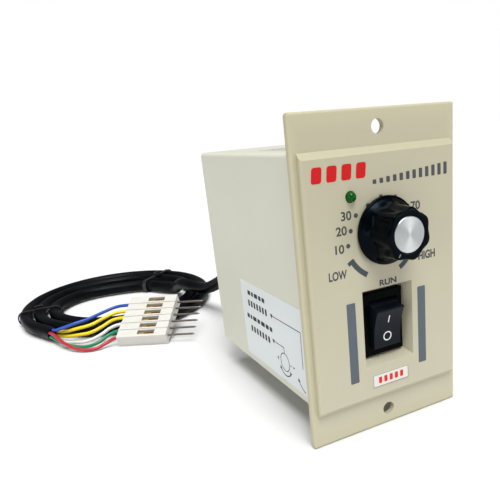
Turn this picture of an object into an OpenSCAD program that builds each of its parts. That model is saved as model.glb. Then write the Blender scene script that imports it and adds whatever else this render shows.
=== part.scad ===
// AC motor speed controller for panel mounting: a moulded front panel with a speed knob,
// a run switch and a lamp, a box behind it with the circuit boards, and a tied motor lead
// whose six cores end in a pin connector. The origin is on the rear face of the flange,
// midway between the two mounting holes. The front faces -Y, and +Z is up.

/* [Front panel] */
// Width of the mounting flange
flange_w = 60; // [58:0.5:70]
// Height of the mounting flange
flange_h = 105; // [102:0.5:120]
// Thickness of the mounting flange
flange_t = 2; // [1.6:0.1:3]
// Corner radius of the flange
flange_r = 1; // [0.5:0.1:2]
// Rounding along the front edges of the flange
flange_edge = 0.8; // [0.4:0.1:1.2]
// Distance of the mounting holes from the flange's upper and lower ends
hole_in = 5.5; // [4.5:0.1:7]
// Diameter of the mounting holes
hole_d = 4.5; // [3.5:0.1:5]
// Width of the raised face
face_w = 56; // [54:0.5:57]
// Height of the raised face
face_h = 83; // [82:0.5:85]
// How far the face stands out from the flange
face_rise = 2; // [1.5:0.1:3]
// Wall thickness behind the raised face
face_wall = 2; // [1.5:0.1:2.2]
// Rounding of the upright edges of the raised face
face_edge = 1; // [0.5:0.1:1.5]

/* [Housing] */
// Outer width of the box behind the flange
body_w = 53; // [51:0.5:56]
// Outer height of the box behind the flange
body_h = 83; // [82:0.5:85]
// Depth of the box behind the flange
body_d = 87; // [84:0.5:110]
// Wall thickness of the box
body_wall = 2; // [1.6:0.1:2.4]
// Outer corner radius of the box
body_r = 1.5; // [0.8:0.1:2]

/* [Speed knob] */
// Height of the knob's axis above the middle of the panel
knob_z = 16; // [14:0.5:19]
// Diameter of the knob's base
knob_base_d = 21.5; // [20:0.5:24]
// Diameter across the lobes at the front of the knob
knob_grip_d = 16; // [15:0.5:17]
// Height of the knob from the panel to its front
knob_h = 12; // [11.5:0.5:14]
// Number of grip lobes round the knob
knob_lobes = 8; // [6:1:12]
// Diameter of the metal cap in the knob's front
cap_d = 11; // [9:0.5:12]
// Total travel of the knob in degrees
knob_travel = 270; // [240:5:300]
// Diameter of the control's shaft
shaft_d = 6; // [5:0.1:6.3]

/* [Run switch] */
// Height of the switch's middle, below the middle of the panel
switch_z = -15.3; // [-18:0.1:-14]
// Width of the switch bezel
bezel_w = 15.6; // [15:0.1:16]
// Height of the switch bezel
bezel_h = 22; // [21:0.1:22.5]
// Thickness of the switch bezel
bezel_t = 2.1; // [1.6:0.1:2.5]
// Width of the rocker
rocker_w = 10.6; // [9.8:0.1:10.8]
// Length of the rocker, end to end
rocker_l = 15.8; // [15:0.1:16.4]
// Tilt of the rocker to each side of the middle, in degrees
rocker_tilt = 11; // [8:0.5:12]

/* [Lamp] */
// Diameter of the lamp's lens
lamp_d = 3.4; // [3:0.1:4]
// Lamp place to the left of the middle
lamp_x = -12.1; // [-15:0.1:-11.5]
// Lamp place above the middle of the panel
lamp_z = 27.7; // [26:0.1:32]

/* [Boards] */
// Thickness of both circuit boards
board_t = 1.6; // [1.2:0.1:2]
// Place of the main board to the right of the middle
board_x = 15; // [13.5:0.5:16.5]
// Depth of the front edge of the main board
board_front = 14; // [12:0.5:16]

/* [Motor lead] */
// Diameter of the cable jacket
cord_d = 7; // [6.6:0.1:7]
// Length of the tapered strain relief behind the box
relief_l = 24; // [20:0.5:26]
// Distance of the cable to the left of the middle
cord_left = 2.5; // [1:0.5:4]
// Distance of the cable below the middle
cord_below = 20; // [19:0.5:21]
// Diameter of one core
core_d = 1.8; // [1.4:0.1:2]
// Centre distance of neighbouring turns of the coil
turn_pitch = 7.8; // [7.6:0.1:8.2]

/* [Connector] */
// Number of poles
poles = 6; // [6:1:6]
// Centre distance of neighbouring poles
pole_pitch = 5.08; // [4.6:0.02:5.2]
// Length of the connector along its wires
connector_l = 26; // [24:0.5:28]
// Thickness of the connector
connector_t = 6.5; // [6:0.1:8]
// Free length of the pins
pin_l = 14; // [12:0.5:16]
// Diameter of the pins
pin_d = 1.1; // [0.9:0.1:1.4]

/* [Labels] */
// Width of the label on the left side, along the depth
side_label_w = 54; // [40:1:60]
// Height of the label on the left side
side_label_h = 31; // [24:1:36]
// Width of the label on top
top_label_w = 36; // [28:1:44]
// Depth of the label on top
top_label_l = 30; // [20:1:40]
// Width of the sticker on the front
sticker_w = 14.7; // [12:0.1:18]
// Height of the sticker on the front
sticker_h = 4.7; // [3.5:0.1:5.5]
// Thickness of every label
label_t = 0.15; // [0.1:0.05:0.3]

/* [Hidden] */
$fn = 48;
// Overrun of every cut
cut = 1;
// Gap between moulded parts that slide together
slide_gap = 0.2;
// Running clearance of a shaft in its bearing, on the radius
run_gap = 0.05;

// Front panel, worked out
hole_pitch = flange_h - 2 * hole_in;
face_y = -flange_t - face_rise;
face_back = face_y + face_wall;
face_bevel = face_rise;
skirt_w = body_w - 2 * body_wall - 2 * slide_gap;
skirt_h = body_h - 2 * body_wall - 2 * slide_gap;
skirt_wall = 1.6;
skirt_l = 8;
hook_w = 6;
hook_x = 14;
hook_front = 4.4;
hook_l = 3.2;
hook_out = 1.4;
hook_slit = 0.8;
window_gap = 0.3;

// Switch recess
well_slope_w = 4;
well_slope_h = 4.2;
well_mouth_w = bezel_w + well_slope_w;
well_mouth_h = bezel_h + well_slope_h;
well_gap = 0.3;
well_floor_w = bezel_w + 2 * well_gap;
well_floor_h = bezel_h + 2 * well_gap;
well_depth = 5;
well_wall = 0.9;
well_floor_t = 1.5;
well_floor_y = face_y + well_depth;
switch_cut_gap = 0.1;

// Run switch, worked out
switch_body_w = 13.2;
switch_body_h = 19.2;
bezel_y = well_floor_y - bezel_t;
switch_depth = 12;
switch_back_t = 2;
switch_back_y = well_floor_y + switch_depth;
switch_room_w = rocker_w + 0.6;
switch_room_h = rocker_l + 0.6;
pivot_in = 3.5;
pivot_y = bezel_y + pivot_in;
pivot_pin_d = 2.4;
pivot_pin_l = 0.8;
dish_r = 26;
dish_in = 5.85;
head_step = 0.8;
head_in = 3;
head_out = dish_in + 0.85;
head_edge = 0.4;
rocker_back = 1.6;
stem_d = 4.4;
stem_l = 4;
plunger_d = 2.4;
plunger_reach = 6.5;
spring_d = 2.2;
spring_wire = 0.35;
spring_turns = 5;
lever_l = 10;
lever_w = 3;
lever_t = 0.6;
lever_gap = 0.3;
lever_y = pivot_y + plunger_reach + lever_gap + lever_t / 2;
lever_tilt = 6;
lever_pad_d = 2.2;
lever_pad_t = 0.35;
lever_pivot_d = 1.2;
spade_w = 4.8;
spade_t = 0.8;
spade_l = 7;
spade_z = 6;
wing_out = 0.6;
wing_l = 3.4;

// Speed control, worked out
knob_gap = 0.4;
knob_front = face_y - knob_h;
knob_back = face_y - knob_gap;
knob_rim_t = 1.2;
knob_step = 0.5;
knob_root_d = knob_base_d - 2 * knob_step;
knob_edge = 0.6;
flute_r = 3.2;
flute_deep = 0.8;
flute_share = 0.86;
cap_t = 0.8;
cap_out = 0.25;
insert_d = 9;
insert_l = 6.5;
insert_front = knob_front + 1.6;
grub_d = 3;
grub_l = 3.6;
pot_d = 16.5;
pot_l = 8;
pot_wall = 1.2;
pot_back = face_back + pot_l;
bush_d = 7;
bush_l = 5.6;
washer_d = 11.5;
washer_t = 0.5;
nut_af = 10;
nut_t = 1.8;
knob_room_d = 13.4;
knob_room_l = nut_t + washer_t + 0.8;
shaft_front = insert_front + 0.4;
wiper_d = 12.5;
wiper_t = 1;
track_t = 0.5;
track_d = 12;
track_in_d = 8;
pot_leg_w = 1.2;
pot_leg_t = 0.5;
pot_leg_l = 3.2;
pot_leg_pitch = 5;

// Front board
front_board_h = 30;
front_board_side_gap = 3.2;
front_board_main_gap = 3.5;
front_board_left = -skirt_w / 2 + skirt_wall + front_board_side_gap;
front_board_right = board_x - front_board_main_gap;
front_board_w = front_board_right - front_board_left;
front_board_x = (front_board_left + front_board_right) / 2;
front_board_drop = 2.35;
front_board_z = (lamp_z + knob_z) / 2 - front_board_drop;
front_board_y = pot_back + 0.2;
post_d = 5;
post_in = 3;
post_x = front_board_w / 2 - post_in;
post_z = front_board_h / 2 - post_in;
board_screw_d = 2.5;
board_screw_head_d = 4.6;
board_screw_head_t = 1.6;
board_screw_l = 6;
pilot_d = 2.1;

// Lamp
lamp_rim_d = lamp_d + 0.8;
lamp_rim_t = 1;
lamp_out = 1.2;
lamp_leg = 0.5;
lamp_leg_pitch = 2.54;

// Main board: a length along the depth, a height, and shares of them for each part
board_end_gap = 1.5;
board_l = body_d - body_wall - board_end_gap - board_front;
room_h = body_h - 2 * body_wall;
board_h = room_h - 2 * slide_gap;
rail_t = 1.2;
rail_h = 2.6;
rail_gap = 0.15;
film_share = [0.76, 0.66];
sink_share = [0.74, 0.153];
block_share = [0.78, -0.53];
resistor_share = [0.42, -0.8];
fuse_share = [0.3, -0.22];
chip_share = [0.34, 0.3];
bulk_share = [0.26, 0.62];
bulk_two_share = [0.47, 0.72];
varistor_share = [0.16, 0.02];
diode_shares = [[0.12, -0.5], [0.12, -0.6], [0.12, -0.7], [0.12, -0.8]];
small_shares = [[0.52, -0.28], [0.52, -0.4], [0.52, -0.52], [0.3, -0.45], [0.3, -0.57],
                [0.1, 0.62], [0.1, 0.74]];
film_size = [12, 26, 19];
sink_size = [14, 30, 20];
sink_base_t = 3;
sink_fin_t = 1.6;
sink_fins = 5;
triac_w = 10;
triac_h = 15.5;
triac_body_h = 9.2;
triac_tab_t = 1.3;
triac_body_t = 4.5;
triac_leg_l = 4;
triac_leg_w = 0.9;
screw_d = 3;
screw_head_d = 5.5;
screw_head_t = 2;
screw_l = 5;
block_size = [10, 10, 32];
block_pole = 5;
resistor_size = [9, 22, 9];
fuse_d = 5.2;
fuse_l = 20;
fuse_cap_l = 5;
fuse_tube_d = 4.9;
clip_t = 0.5;
clip_w = 5.6;
choke_d = 12;
choke_l = 10;
choke_core_d = 6;
choke_flange_t = 1.4;
choke_wire_t = 2;
choke_sink_gap = 1.2;
choke_up_share = 0.03;
choke_share = [sink_share[0] - (sink_size[1] / 2 + choke_sink_gap + choke_d / 2) / board_l,
               choke_up_share];
chip_size = [3.4, 19.5, 6.4];
chip_leg_w = 1;
chip_leg_t = 0.4;
chip_legs = 7;
chip_leg_pitch = 2.54;
bulk_d = 10;
bulk_l = 16;
bulk_two_d = 8;
bulk_two_l = 12;
varistor_d = 12;
varistor_t = 4;
diode_d = 2.7;
diode_l = 5.2;
diode_leg = 0.7;
small_d = 2.4;
small_l = 6.4;
small_leg = 0.6;
lead_wire_d = 1.6;
link_near_share = 0.15;
link_far_share = 0.45;
wire_near_share = 0.2;
wire_far_share = 0.6;
entry_d = 3.2;
entry_l = 6;
well_d = 3.5;
well_l = 2;
inner_core_d = 1.4;
near_share = [0.12, 0.62, 1];
far_share = [0.42, 0.92, 1];
near_fan_share = 0.35;
far_fan_share = 0.8;
bundle_step = 2.1;

// Motor lead: where it leaves, the coil on the surface, and the ties
floor_z = -flange_h / 2;
cord_exit_y = body_d + relief_l;
relief_flange_d = 15;
relief_flange_t = 2;
relief_neck_d = 11;
relief_inner_t = 1.6;
relief_root_d = 12;
relief_tip_d = 9;
bore_gap = 0.05;
jacket_in = 7;
tie_t = 0.8;
tie_w = 2.6;
tie_gap = 0.1;
tie_end_gap = 0.7;
tie_knot_l = 4.6;
tie_knot_t = 2.2;
cord_rest_z = floor_z + tie_t + tie_gap + cord_d / 2;
coil_centre = [-50, 218];
coil_rx = 57;
coil_ry = 66;
coil_start = 20;
coil_turns = 2.54;
coil_fan = 12;
coil_entry = 6;
coil_rings = 24;
coil_sides = 6;
lead_sides = 8;
core_sides = 8;
tie_left_at = 180;
tie_right_at = 400;

// Points of the lead between the strain relief and the coil, chosen by hand
LEAD_POINTS = [[-2.5, 111, -20], [-2.5, 122, -20.8], [-3, 134, -24], [-4, 146, -29.5],
               [-5.5, 158, -35], [-7.5, 169, -39], [-10, 180, -40.4], [-13, 190, -40.2],
               [-14.6, 198, -40.8], [-14.9, 207, -43.8]];

// Points of the six cores, from the connector's top row down, chosen by hand
CORE_POINTS = [
    [[-90.5, 167.3, -43.9], [-84, 164.2, -42], [-76, 164.5, -41], [-68, 167, -39.8],
     [-61, 167.6, -38.6]],
    [[-88.6, 168.1, -46.2], [-82.5, 162.5, -44.4], [-76, 160.6, -43.4], [-69, 162.2, -41.9],
     [-62.5, 163, -40.6]],
    [[-88.8, 168.1, -49], [-82.5, 160.3, -47.4], [-77, 157, -46.4], [-71, 157.6, -44.9],
     [-65, 158.8, -43]],
    [[-91, 167.2, -51.2], [-85.5, 159, -50.6], [-79.5, 153.6, -49.6], [-73, 152.6, -47.6],
     [-67, 154, -45.4]],
    [[-93.4, 166.1, -49.6], [-88, 156.5, -51], [-81.5, 149.8, -51.2], [-75, 148.2, -49.8],
     [-69.2, 149.6, -47.6]],
    [[-94, 166, -47], [-90.2, 155.5, -49.4], [-84, 146.6, -51.2], [-77.5, 143.6, -51.2],
     [-71.5, 144.8, -50]]];

// Connector, worked out
connector_at = [-66, 142, floor_z];
connector_yaw = -32;
connector_lean = 24;
connector_end = 3;
connector_w = (poles - 1) * pole_pitch + 2 * connector_end;
window_l = 9;
window_w = 3;
window_from = 10.5;
window_deep = 2.4;
terminal_t = 1.4;
terminal_w = 2.2;
terminal_l = 8;
terminal_open_l = 5.2;
terminal_wall = 0.45;
ridge_w = 0.8;
ridge_h = 0.5;
core_seat = 4;
pin_in = 5;

// Labels
side_label_y = 4;
side_label_z = -22.5;
top_label_y = 16;
sticker_z = -34.1;

// A rectangle with round corners
module round_rect(w, h, r) {
    square([w - 2 * r, h], center = true);
    square([w, h - 2 * r], center = true);
    for (x = [-1, 1], y = [-1, 1])
        translate([x * (w / 2 - r), y * (h / 2 - r)]) circle(r);
}

// Stands an outline drawn in X and Z upright, from one depth to another
module upright(y0, y1) {
    translate([0, y1, 0]) rotate([90, 0, 0]) linear_extrude(y1 - y0) children();
}

// Draws an outline given in Y and Z out along X, to both sides of the middle
module sideways(w) {
    rotate([90, 0, 90]) linear_extrude(w, center = true) children();
}

// Turns a shape built along Z so that it runs along Y, towards the back
module rearward() {
    rotate([-90, 0, 0]) children();
}

// A round bar along Y
module bar_y(y0, y1, d) {
    translate([0, y0, 0]) rearward() cylinder(h = y1 - y0, d = d);
}

// A rectangular block along Y, centred in X and Z
module block_y(y0, y1, w, h) {
    translate([-w / 2, y0, -h / 2]) cube([w, y1 - y0, h]);
}

// A slab whose four front edges are rounded, by crossing two outlines
module soft_slab(w, h, y0, y1, edge, corner) {
    intersection() {
        upright(y0, y1) round_rect(w, h, corner);
        linear_extrude(h, center = true) edged_outline(w, y0, y1, edge);
        sideways(w) rotate(-90) mirror([1, 0]) edged_outline(h, y0, y1, edge);
    }
}

// A rectangle from y0 to y1 whose two corners at y0 are round
module edged_outline(w, y0, y1, r) {
    translate([-w / 2, y0 + r]) square([w, y1 - y0 - r]);
    translate([-w / 2 + r, y0]) square([w - 2 * r, y1 - y0]);
    for (x = [-1, 1]) translate([x * (w / 2 - r), y0 + r]) circle(r);
}

// Sweeps one tube through its points; each ring stands square to the path
function unit(v) = v / norm(v);
function tangent(p, i) = unit(p[min(i + 1, len(p) - 1)] - p[max(i - 1, 0)]);
function ring(at, along, r, sides) =
    let (side = unit(cross(along, [0, 0, 1])), up = cross(side, along))
    [for (k = [0 : sides - 1]) at + r * (cos(360 * k / sides) * side + sin(360 * k / sides) * up)];
function ring_face(i, k, sides) = let (n = (k + 1) % sides)
    [[i * sides + k, i * sides + n, (i + 1) * sides + k],
     [(i + 1) * sides + k, i * sides + n, (i + 1) * sides + n]];

module tube(path, d, sides) {
    last = len(path) - 1;
    rings = [for (i = [0 : last]) each ring(path[i], tangent(path, i), d / 2, sides)];
    walls = [for (i = [0 : last - 1], k = [0 : sides - 1]) each ring_face(i, k, sides)];
    start_cap = [for (k = [1 : sides - 2]) [0, k + 1, k]];
    end_cap = [for (k = [1 : sides - 2]) [last * sides, last * sides + k, last * sides + k + 1]];
    polyhedron(points = rings, faces = concat(start_cap, walls, end_cap));
}

// Point of the coil at an angle: it winds outwards by one pitch a turn, the inner turns fan
// inwards on the far side, and the first one starts a little further in
function coil_left(a) = coil_turns - (a - coil_start) / 360;
function coil_draw(a) = coil_fan * pow(max(0, sin(a)), 2) * pow(coil_left(a) / coil_turns, 2)
    + coil_entry * pow(coil_left(a) / coil_turns, 12);
function coil_reach(a) = 1 - (turn_pitch * coil_left(a) + coil_draw(a)) / coil_rx;
function coil_point(a) = [coil_centre[0] + coil_rx * coil_reach(a) * cos(a),
                          coil_centre[1] + coil_ry * coil_reach(a) * sin(a), cord_rest_z];
coil_end = coil_start + 360 * coil_turns;
coil_angles = [for (i = [0 : round(coil_turns * coil_rings)])
               coil_start + (coil_end - coil_start) * i / round(coil_turns * coil_rings)];
coil_turned = [for (a = coil_angles) coil_point(a)];
coil_last = len(coil_turned) - 1;
coil_in_way = unit(coil_turned[1] - coil_turned[0]);
coil_out_way = unit(coil_turned[coil_last] - coil_turned[coil_last - 1]);
coil_in = coil_turned[0] - cord_d * coil_in_way;
coil_out = coil_turned[coil_last] + cord_d * coil_out_way;
coil_path = concat([coil_in], coil_turned, [coil_out]);
lead_path = concat([[-cord_left, body_d - body_wall - jacket_in, -cord_below],
                    [-cord_left, body_d, -cord_below]],
                   [for (p = LEAD_POINTS) p], [coil_in - cord_d * coil_in_way, coil_in]);

// Least gap of the coil to itself, measured on its points and midway between them
coil_fine = [for (i = [0 : 2 * len(coil_path) - 2])
             (coil_path[floor(i / 2)] + coil_path[ceil(i / 2)]) / 2];
coil_gaps = [for (i = [0 : len(coil_fine) - 1], j = [i + coil_rings : len(coil_fine) - 1])
             norm(coil_fine[i] - coil_fine[j]) - cord_d];
echo(least_gap_of_coil = min(coil_gaps));

// Place and direction of the connector
module at_connector() {
    translate(connector_at) rotate([0, 0, connector_yaw]) rotate([connector_lean, 0, 0]) children();
}
function turn_z(p, a) = [p[0] * cos(a) - p[1] * sin(a), p[0] * sin(a) + p[1] * cos(a), p[2]];
function turn_x(p, a) = [p[0], p[1] * cos(a) - p[2] * sin(a), p[1] * sin(a) + p[2] * cos(a)];
function on_connector(p) = connector_at + turn_z(turn_x(p, connector_lean), connector_yaw);
function pole_y(i) = connector_end + (poles - 1 - i) * pole_pitch;
core_ring_r = 2.3;
core_out_side = unit(cross(coil_out_way, [0, 0, 1]));
function core_start(i) = coil_out + core_ring_r *
    (cos(90 - 60 * i) * -core_out_side + sin(90 - 60 * i) * [0, 0, 1]);
function core_path(i) = concat(
    [core_start(i), core_start(i) + core_d * coil_out_way],
    CORE_POINTS[i],
    [on_connector([-core_d, pole_y(i), connector_t / 2]),
     on_connector([0, pole_y(i), connector_t / 2])]);

// The moulded panel with its flange, raised face, switch recess and rear skirt
module front_panel() {
    color([0.80, 0.78, 0.70]) {
        difference() {
            union() {
                soft_slab(flange_w, flange_h, -flange_t, 0, flange_edge, flange_r);
                raised_face();
                block_y_at(0, switch_z, face_back, well_floor_y + well_floor_t,
                           well_mouth_w + 2 * well_wall, well_mouth_h + 2 * well_wall);
            }
            difference() {
                block_y(face_back, cut, skirt_w - 2 * skirt_wall, skirt_h - 2 * skirt_wall);
                block_y_at(0, switch_z, face_y, cut + well_floor_t,
                           well_mouth_w + 2 * well_wall, well_mouth_h + 2 * well_wall);
            }
            translate([0, 0, switch_z]) switch_recess();
            block_y_at(0, switch_z, well_floor_y - cut, well_floor_y + well_floor_t + cut,
                       switch_body_w + 2 * switch_cut_gap, switch_body_h + 2 * switch_cut_gap);
            for (z = [-1, 1]) translate([0, 0, z * hole_pitch / 2])
                bar_y(-flange_t - cut, cut, hole_d);
            translate([0, 0, knob_z]) bar_y(face_y - cut, face_back + cut, bush_d + 2 * slide_gap);
            translate([lamp_x, 0, lamp_z]) bar_y(face_y - cut, face_back + cut, lamp_d + slide_gap);
        }
        skirt();
        board_posts();
    }
}

module block_y_at(x, z, y0, y1, w, h) {
    translate([x, 0, z]) block_y(y0, y1, w, h);
}

// The raised face: round upright edges, and sloped edges at its top and bottom
module raised_face() {
    intersection() {
        linear_extrude(face_h, center = true) edged_outline(face_w, face_y, -flange_t / 2, face_edge);
        sideways(face_w) polygon([[face_y, -face_h / 2 + face_bevel], [-flange_t, -face_h / 2],
                                  [-flange_t / 2, -face_h / 2], [-flange_t / 2, face_h / 2],
                                  [-flange_t, face_h / 2], [face_y, face_h / 2 - face_bevel]]);
    }
}

// The recess narrows from its mouth to its floor on all four sides
module switch_recess() {
    intersection() {
        linear_extrude(well_mouth_h * 2, center = true) well_outline(well_mouth_w, well_floor_w);
        sideways(well_mouth_w * 2) rotate(-90) mirror([1, 0])
            well_outline(well_mouth_h, well_floor_h);
    }
}

module well_outline(mouth, bottom) {
    slope = (mouth - bottom) / 2 / well_depth;
    polygon([[-mouth / 2 - slope * cut, face_y - cut], [mouth / 2 + slope * cut, face_y - cut],
             [bottom / 2, well_floor_y], [-bottom / 2, well_floor_y]]);
}

// The skirt that slides into the box, with four hooks that spring into its windows
module skirt() {
    difference() {
        block_y(-flange_t / 2, skirt_l, skirt_w, skirt_h);
        block_y(-flange_t, skirt_l + cut, skirt_w - 2 * skirt_wall, skirt_h - 2 * skirt_wall);
        for (x = [-1, 1], z = [-1, 1], s = [-1, 1])
            block_y_at(x * hook_x + s * (hook_w / 2 + hook_slit), z * (skirt_h - skirt_wall) / 2,
                       skirt_wall, skirt_l + cut, hook_slit, 2 * skirt_wall);
    }
    for (x = [-1, 1], flip = [0, 1]) mirror([0, 0, flip])
        translate([x * hook_x, 0, skirt_h / 2]) sideways(hook_w)
            polygon([[hook_front, -skirt_wall / 2], [hook_front, hook_out],
                     [hook_front + hook_l / 4, hook_out], [hook_front + hook_l, 0],
                     [hook_front + hook_l, -skirt_wall / 2]]);
}

// Two posts behind the face that carry the front board
module board_posts() {
    for (s = [-1, 1]) translate([front_board_x + s * post_x, 0, front_board_z + s * post_z])
        difference() {
            bar_y(face_back - face_wall / 2, front_board_y, post_d);
            bar_y(face_back + slide_gap, front_board_y + cut, pilot_d);
        }
}

// The box behind the flange: four walls and a rear wall, open at the front
module housing() {
    color([0.76, 0.74, 0.66]) {
        difference() {
            upright(0, body_d) round_rect(body_w, body_h, body_r);
            block_y(-cut, body_d - body_wall, body_w - 2 * body_wall, room_h);
            for (x = [-1, 1], z = [-1, 1])
                block_y_at(x * hook_x, z * (body_h - body_wall) / 2, hook_front - window_gap,
                           hook_front + hook_l + window_gap, hook_w + 2 * window_gap,
                           body_wall + 2 * cut);
            translate([-cord_left, 0, -cord_below])
                bar_y(body_d - body_wall - cut, body_d + cut, relief_neck_d + 2 * bore_gap);
        }
        for (z = [-1, 1], x = [board_x - rail_gap - rail_t / 2,
                               board_x + board_t + rail_gap + rail_t / 2])
            block_y_at(x, z * (room_h - rail_h) / 2, skirt_l + slide_gap + skirt_wall,
                       body_d - body_wall / 2, rail_t, rail_h);
    }
}

// Rubber sleeve in the rear wall, tapering along the cable
module strain_relief() {
    back = body_d;
    color([0.07, 0.07, 0.08]) translate([-cord_left, 0, -cord_below]) rearward() rotate_extrude()
        polygon([[cord_d / 2 + bore_gap, back - body_wall - relief_inner_t],
                 [relief_flange_d / 2, back - body_wall - relief_inner_t],
                 [relief_flange_d / 2, back - body_wall], [relief_neck_d / 2, back - body_wall],
                 [relief_neck_d / 2, back], [relief_flange_d / 2, back],
                 [relief_flange_d / 2, back + relief_flange_t],
                 [relief_root_d / 2, back + relief_flange_t],
                 [relief_tip_d / 2, back + relief_l], [cord_d / 2 + bore_gap, back + relief_l]]);
}

// Lens with a domed tip, a rim behind the panel, and two legs into the front board
module status_lamp() {
    tip = face_y - lamp_out;
    color([0.1, 0.75, 0.2]) translate([lamp_x, 0, lamp_z]) {
        bar_y(tip + lamp_d / 2, face_back + lamp_rim_t, lamp_d);
        bar_y(face_back, face_back + lamp_rim_t, lamp_rim_d);
        translate([0, tip + lamp_d / 2, 0]) rearward() rotate_extrude() intersection() {
            circle(lamp_d / 2);
            translate([0, -lamp_d]) square([lamp_d, lamp_d + slide_gap]);
        }
    }
}

module lamp_legs() {
    color("silver") for (s = [-1, 1])
        block_y_at(lamp_x + s * lamp_leg_pitch / 2, lamp_z, face_back + lamp_rim_t,
                   front_board_y + board_t + lamp_leg, lamp_leg, lamp_leg);
}

// Height of the grip's slope between the rim and the front
grip_run = knob_h - knob_gap - knob_rim_t;
grip_slope = atan((knob_root_d - knob_grip_d) / 2 / grip_run);

// The knob: a thin rim, a tapering grip with lobes, and rooms for the cap and the nut
module knob() {
    color([0.03, 0.03, 0.04]) translate([0, 0, knob_z]) difference() {
        rearward() rotate_extrude() {
            polygon([[0, knob_front], [knob_grip_d / 2 - knob_edge, knob_front],
                     [knob_grip_d / 2, knob_front + knob_edge],
                     [knob_root_d / 2, knob_back - knob_rim_t],
                     [knob_base_d / 2, knob_back - knob_rim_t], [knob_base_d / 2, knob_back],
                     [0, knob_back]]);
            translate([knob_grip_d / 2 - knob_edge, knob_front + knob_edge]) circle(knob_edge);
        }
        for (k = [0 : knob_lobes - 1]) rotate([0, 360 * (k + 0.5) / knob_lobes, 0]) flute();
        bar_y(knob_front - cut, knob_front + cap_t - cap_out, cap_d + 2 * run_gap);
        bar_y(insert_front, knob_back + cut, insert_d + 2 * run_gap);
        bar_y(knob_back - knob_room_l, knob_back + cut, knob_room_d);
        grub_way() cylinder(h = knob_base_d, d = grub_d + 2 * run_gap);
    }
}

// One hollow between two lobes, sloped with the grip and ending above the rim
module flute() {
    translate([0, knob_front, knob_grip_d / 2 + flute_r - flute_deep]) rotate([grip_slope, 0, 0])
        translate([0, -cut, 0]) rearward() cylinder(h = grip_run * flute_share + cut, r = flute_r);
}

// The grub screw's way from the shaft outwards, opposite the pointer
module grub_way() {
    translate([0, insert_front + insert_l / 2, 0]) rotate([0, 45, 0]) children();
}

module knob_cap() {
    color([0.86, 0.87, 0.88]) translate([0, 0, knob_z]) rearward() rotate_extrude()
        polygon([[0, knob_front - cap_out],
                 [cap_d / 2 - cap_out, knob_front - cap_out], [cap_d / 2, knob_front],
                 [cap_d / 2, knob_front + cap_t - cap_out], [0, knob_front + cap_t - cap_out]]);
}

module knob_insert() {
    color([0.80, 0.65, 0.30]) translate([0, 0, knob_z]) difference() {
        bar_y(insert_front, insert_front + insert_l, insert_d);
        bar_y(insert_front + slide_gap, insert_front + insert_l + cut, shaft_d + 2 * run_gap);
        grub_way() cylinder(h = insert_d, d = grub_d + 2 * run_gap);
    }
}

module knob_grub_screw() {
    color([0.25, 0.25, 0.27]) translate([0, 0, knob_z]) grub_way()
        translate([0, 0, shaft_d / 2 + run_gap]) difference() {
            cylinder(h = grub_l, d = grub_d);
            translate([-grub_d, -grub_d / 12, grub_l - grub_d / 4])
                cube([2 * grub_d, grub_d / 6, grub_d]);
        }
}

module pot_shaft() {
    color([0.78, 0.78, 0.80]) translate([0, 0, knob_z]) {
        bar_y(shaft_front, pot_back - pot_wall - track_t - wiper_t, shaft_d - 2 * run_gap);
        bar_y(face_back + pot_wall + slide_gap, face_back + pot_wall + slide_gap + wiper_t,
              shaft_d + pot_wall);
    }
}

// Rotor on the rear end of the shaft with two sprung contact fingers
module pot_wiper() {
    y0 = pot_back - pot_wall - track_t - wiper_t;
    color([0.15, 0.15, 0.16]) translate([0, 0, knob_z]) {
        difference() {
            bar_y(y0, y0 + wiper_t - slide_gap, wiper_d);
            for (s = [-1, 1]) block_y_at(s * wiper_d / 3, 0, y0 - cut, y0 + cut + wiper_t,
                                         wiper_t, wiper_d / 3);
        }
    }
}

module pot_bushing() {
    color([0.75, 0.76, 0.78]) translate([0, 0, knob_z]) difference() {
        union() {
            bar_y(face_back - bush_l, face_back, bush_d);
            bar_y(face_back, face_back + pot_wall, pot_d);
        }
        bar_y(face_back - bush_l - cut, face_back + pot_wall + cut, shaft_d);
    }
}

module pot_case() {
    color([0.35, 0.36, 0.38]) translate([0, 0, knob_z]) difference() {
        bar_y(face_back + pot_wall, pot_back, pot_d);
        bar_y(face_back + pot_wall - cut, pot_back - pot_wall, pot_d - 2 * pot_wall);
    }
}

module pot_track() {
    color([0.1, 0.1, 0.1]) translate([0, 0, knob_z]) difference() {
        bar_y(pot_back - pot_wall - track_t, pot_back - pot_wall, track_d);
        bar_y(pot_back - pot_wall - track_t - cut, pot_back, track_in_d);
        translate([0, 0, -track_d / 2]) block_y(pot_back - pot_wall - cut, pot_back,
                                                track_in_d / 4, track_d / 2);
    }
}

module pot_legs() {
    color("silver") for (x = [-1, 0, 1])
        block_y_at(x * pot_leg_pitch, knob_z - pot_d / 3, pot_back, pot_back + pot_leg_l,
                   pot_leg_w, pot_leg_t);
}

module pot_washer() {
    color([0.8, 0.8, 0.82]) translate([0, 0, knob_z]) difference() {
        bar_y(face_y - washer_t, face_y, washer_d);
        bar_y(face_y - washer_t - cut, face_y + cut, bush_d + 2 * run_gap);
    }
}

module pot_nut() {
    color([0.8, 0.8, 0.82]) translate([0, 0, knob_z]) difference() {
        translate([0, face_y - washer_t - nut_t, 0]) rearward()
            cylinder(h = nut_t, d = nut_af / cos(30), $fn = 6);
        bar_y(face_y - washer_t - nut_t - cut, face_y, bush_d + 2 * run_gap);
    }
}

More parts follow.
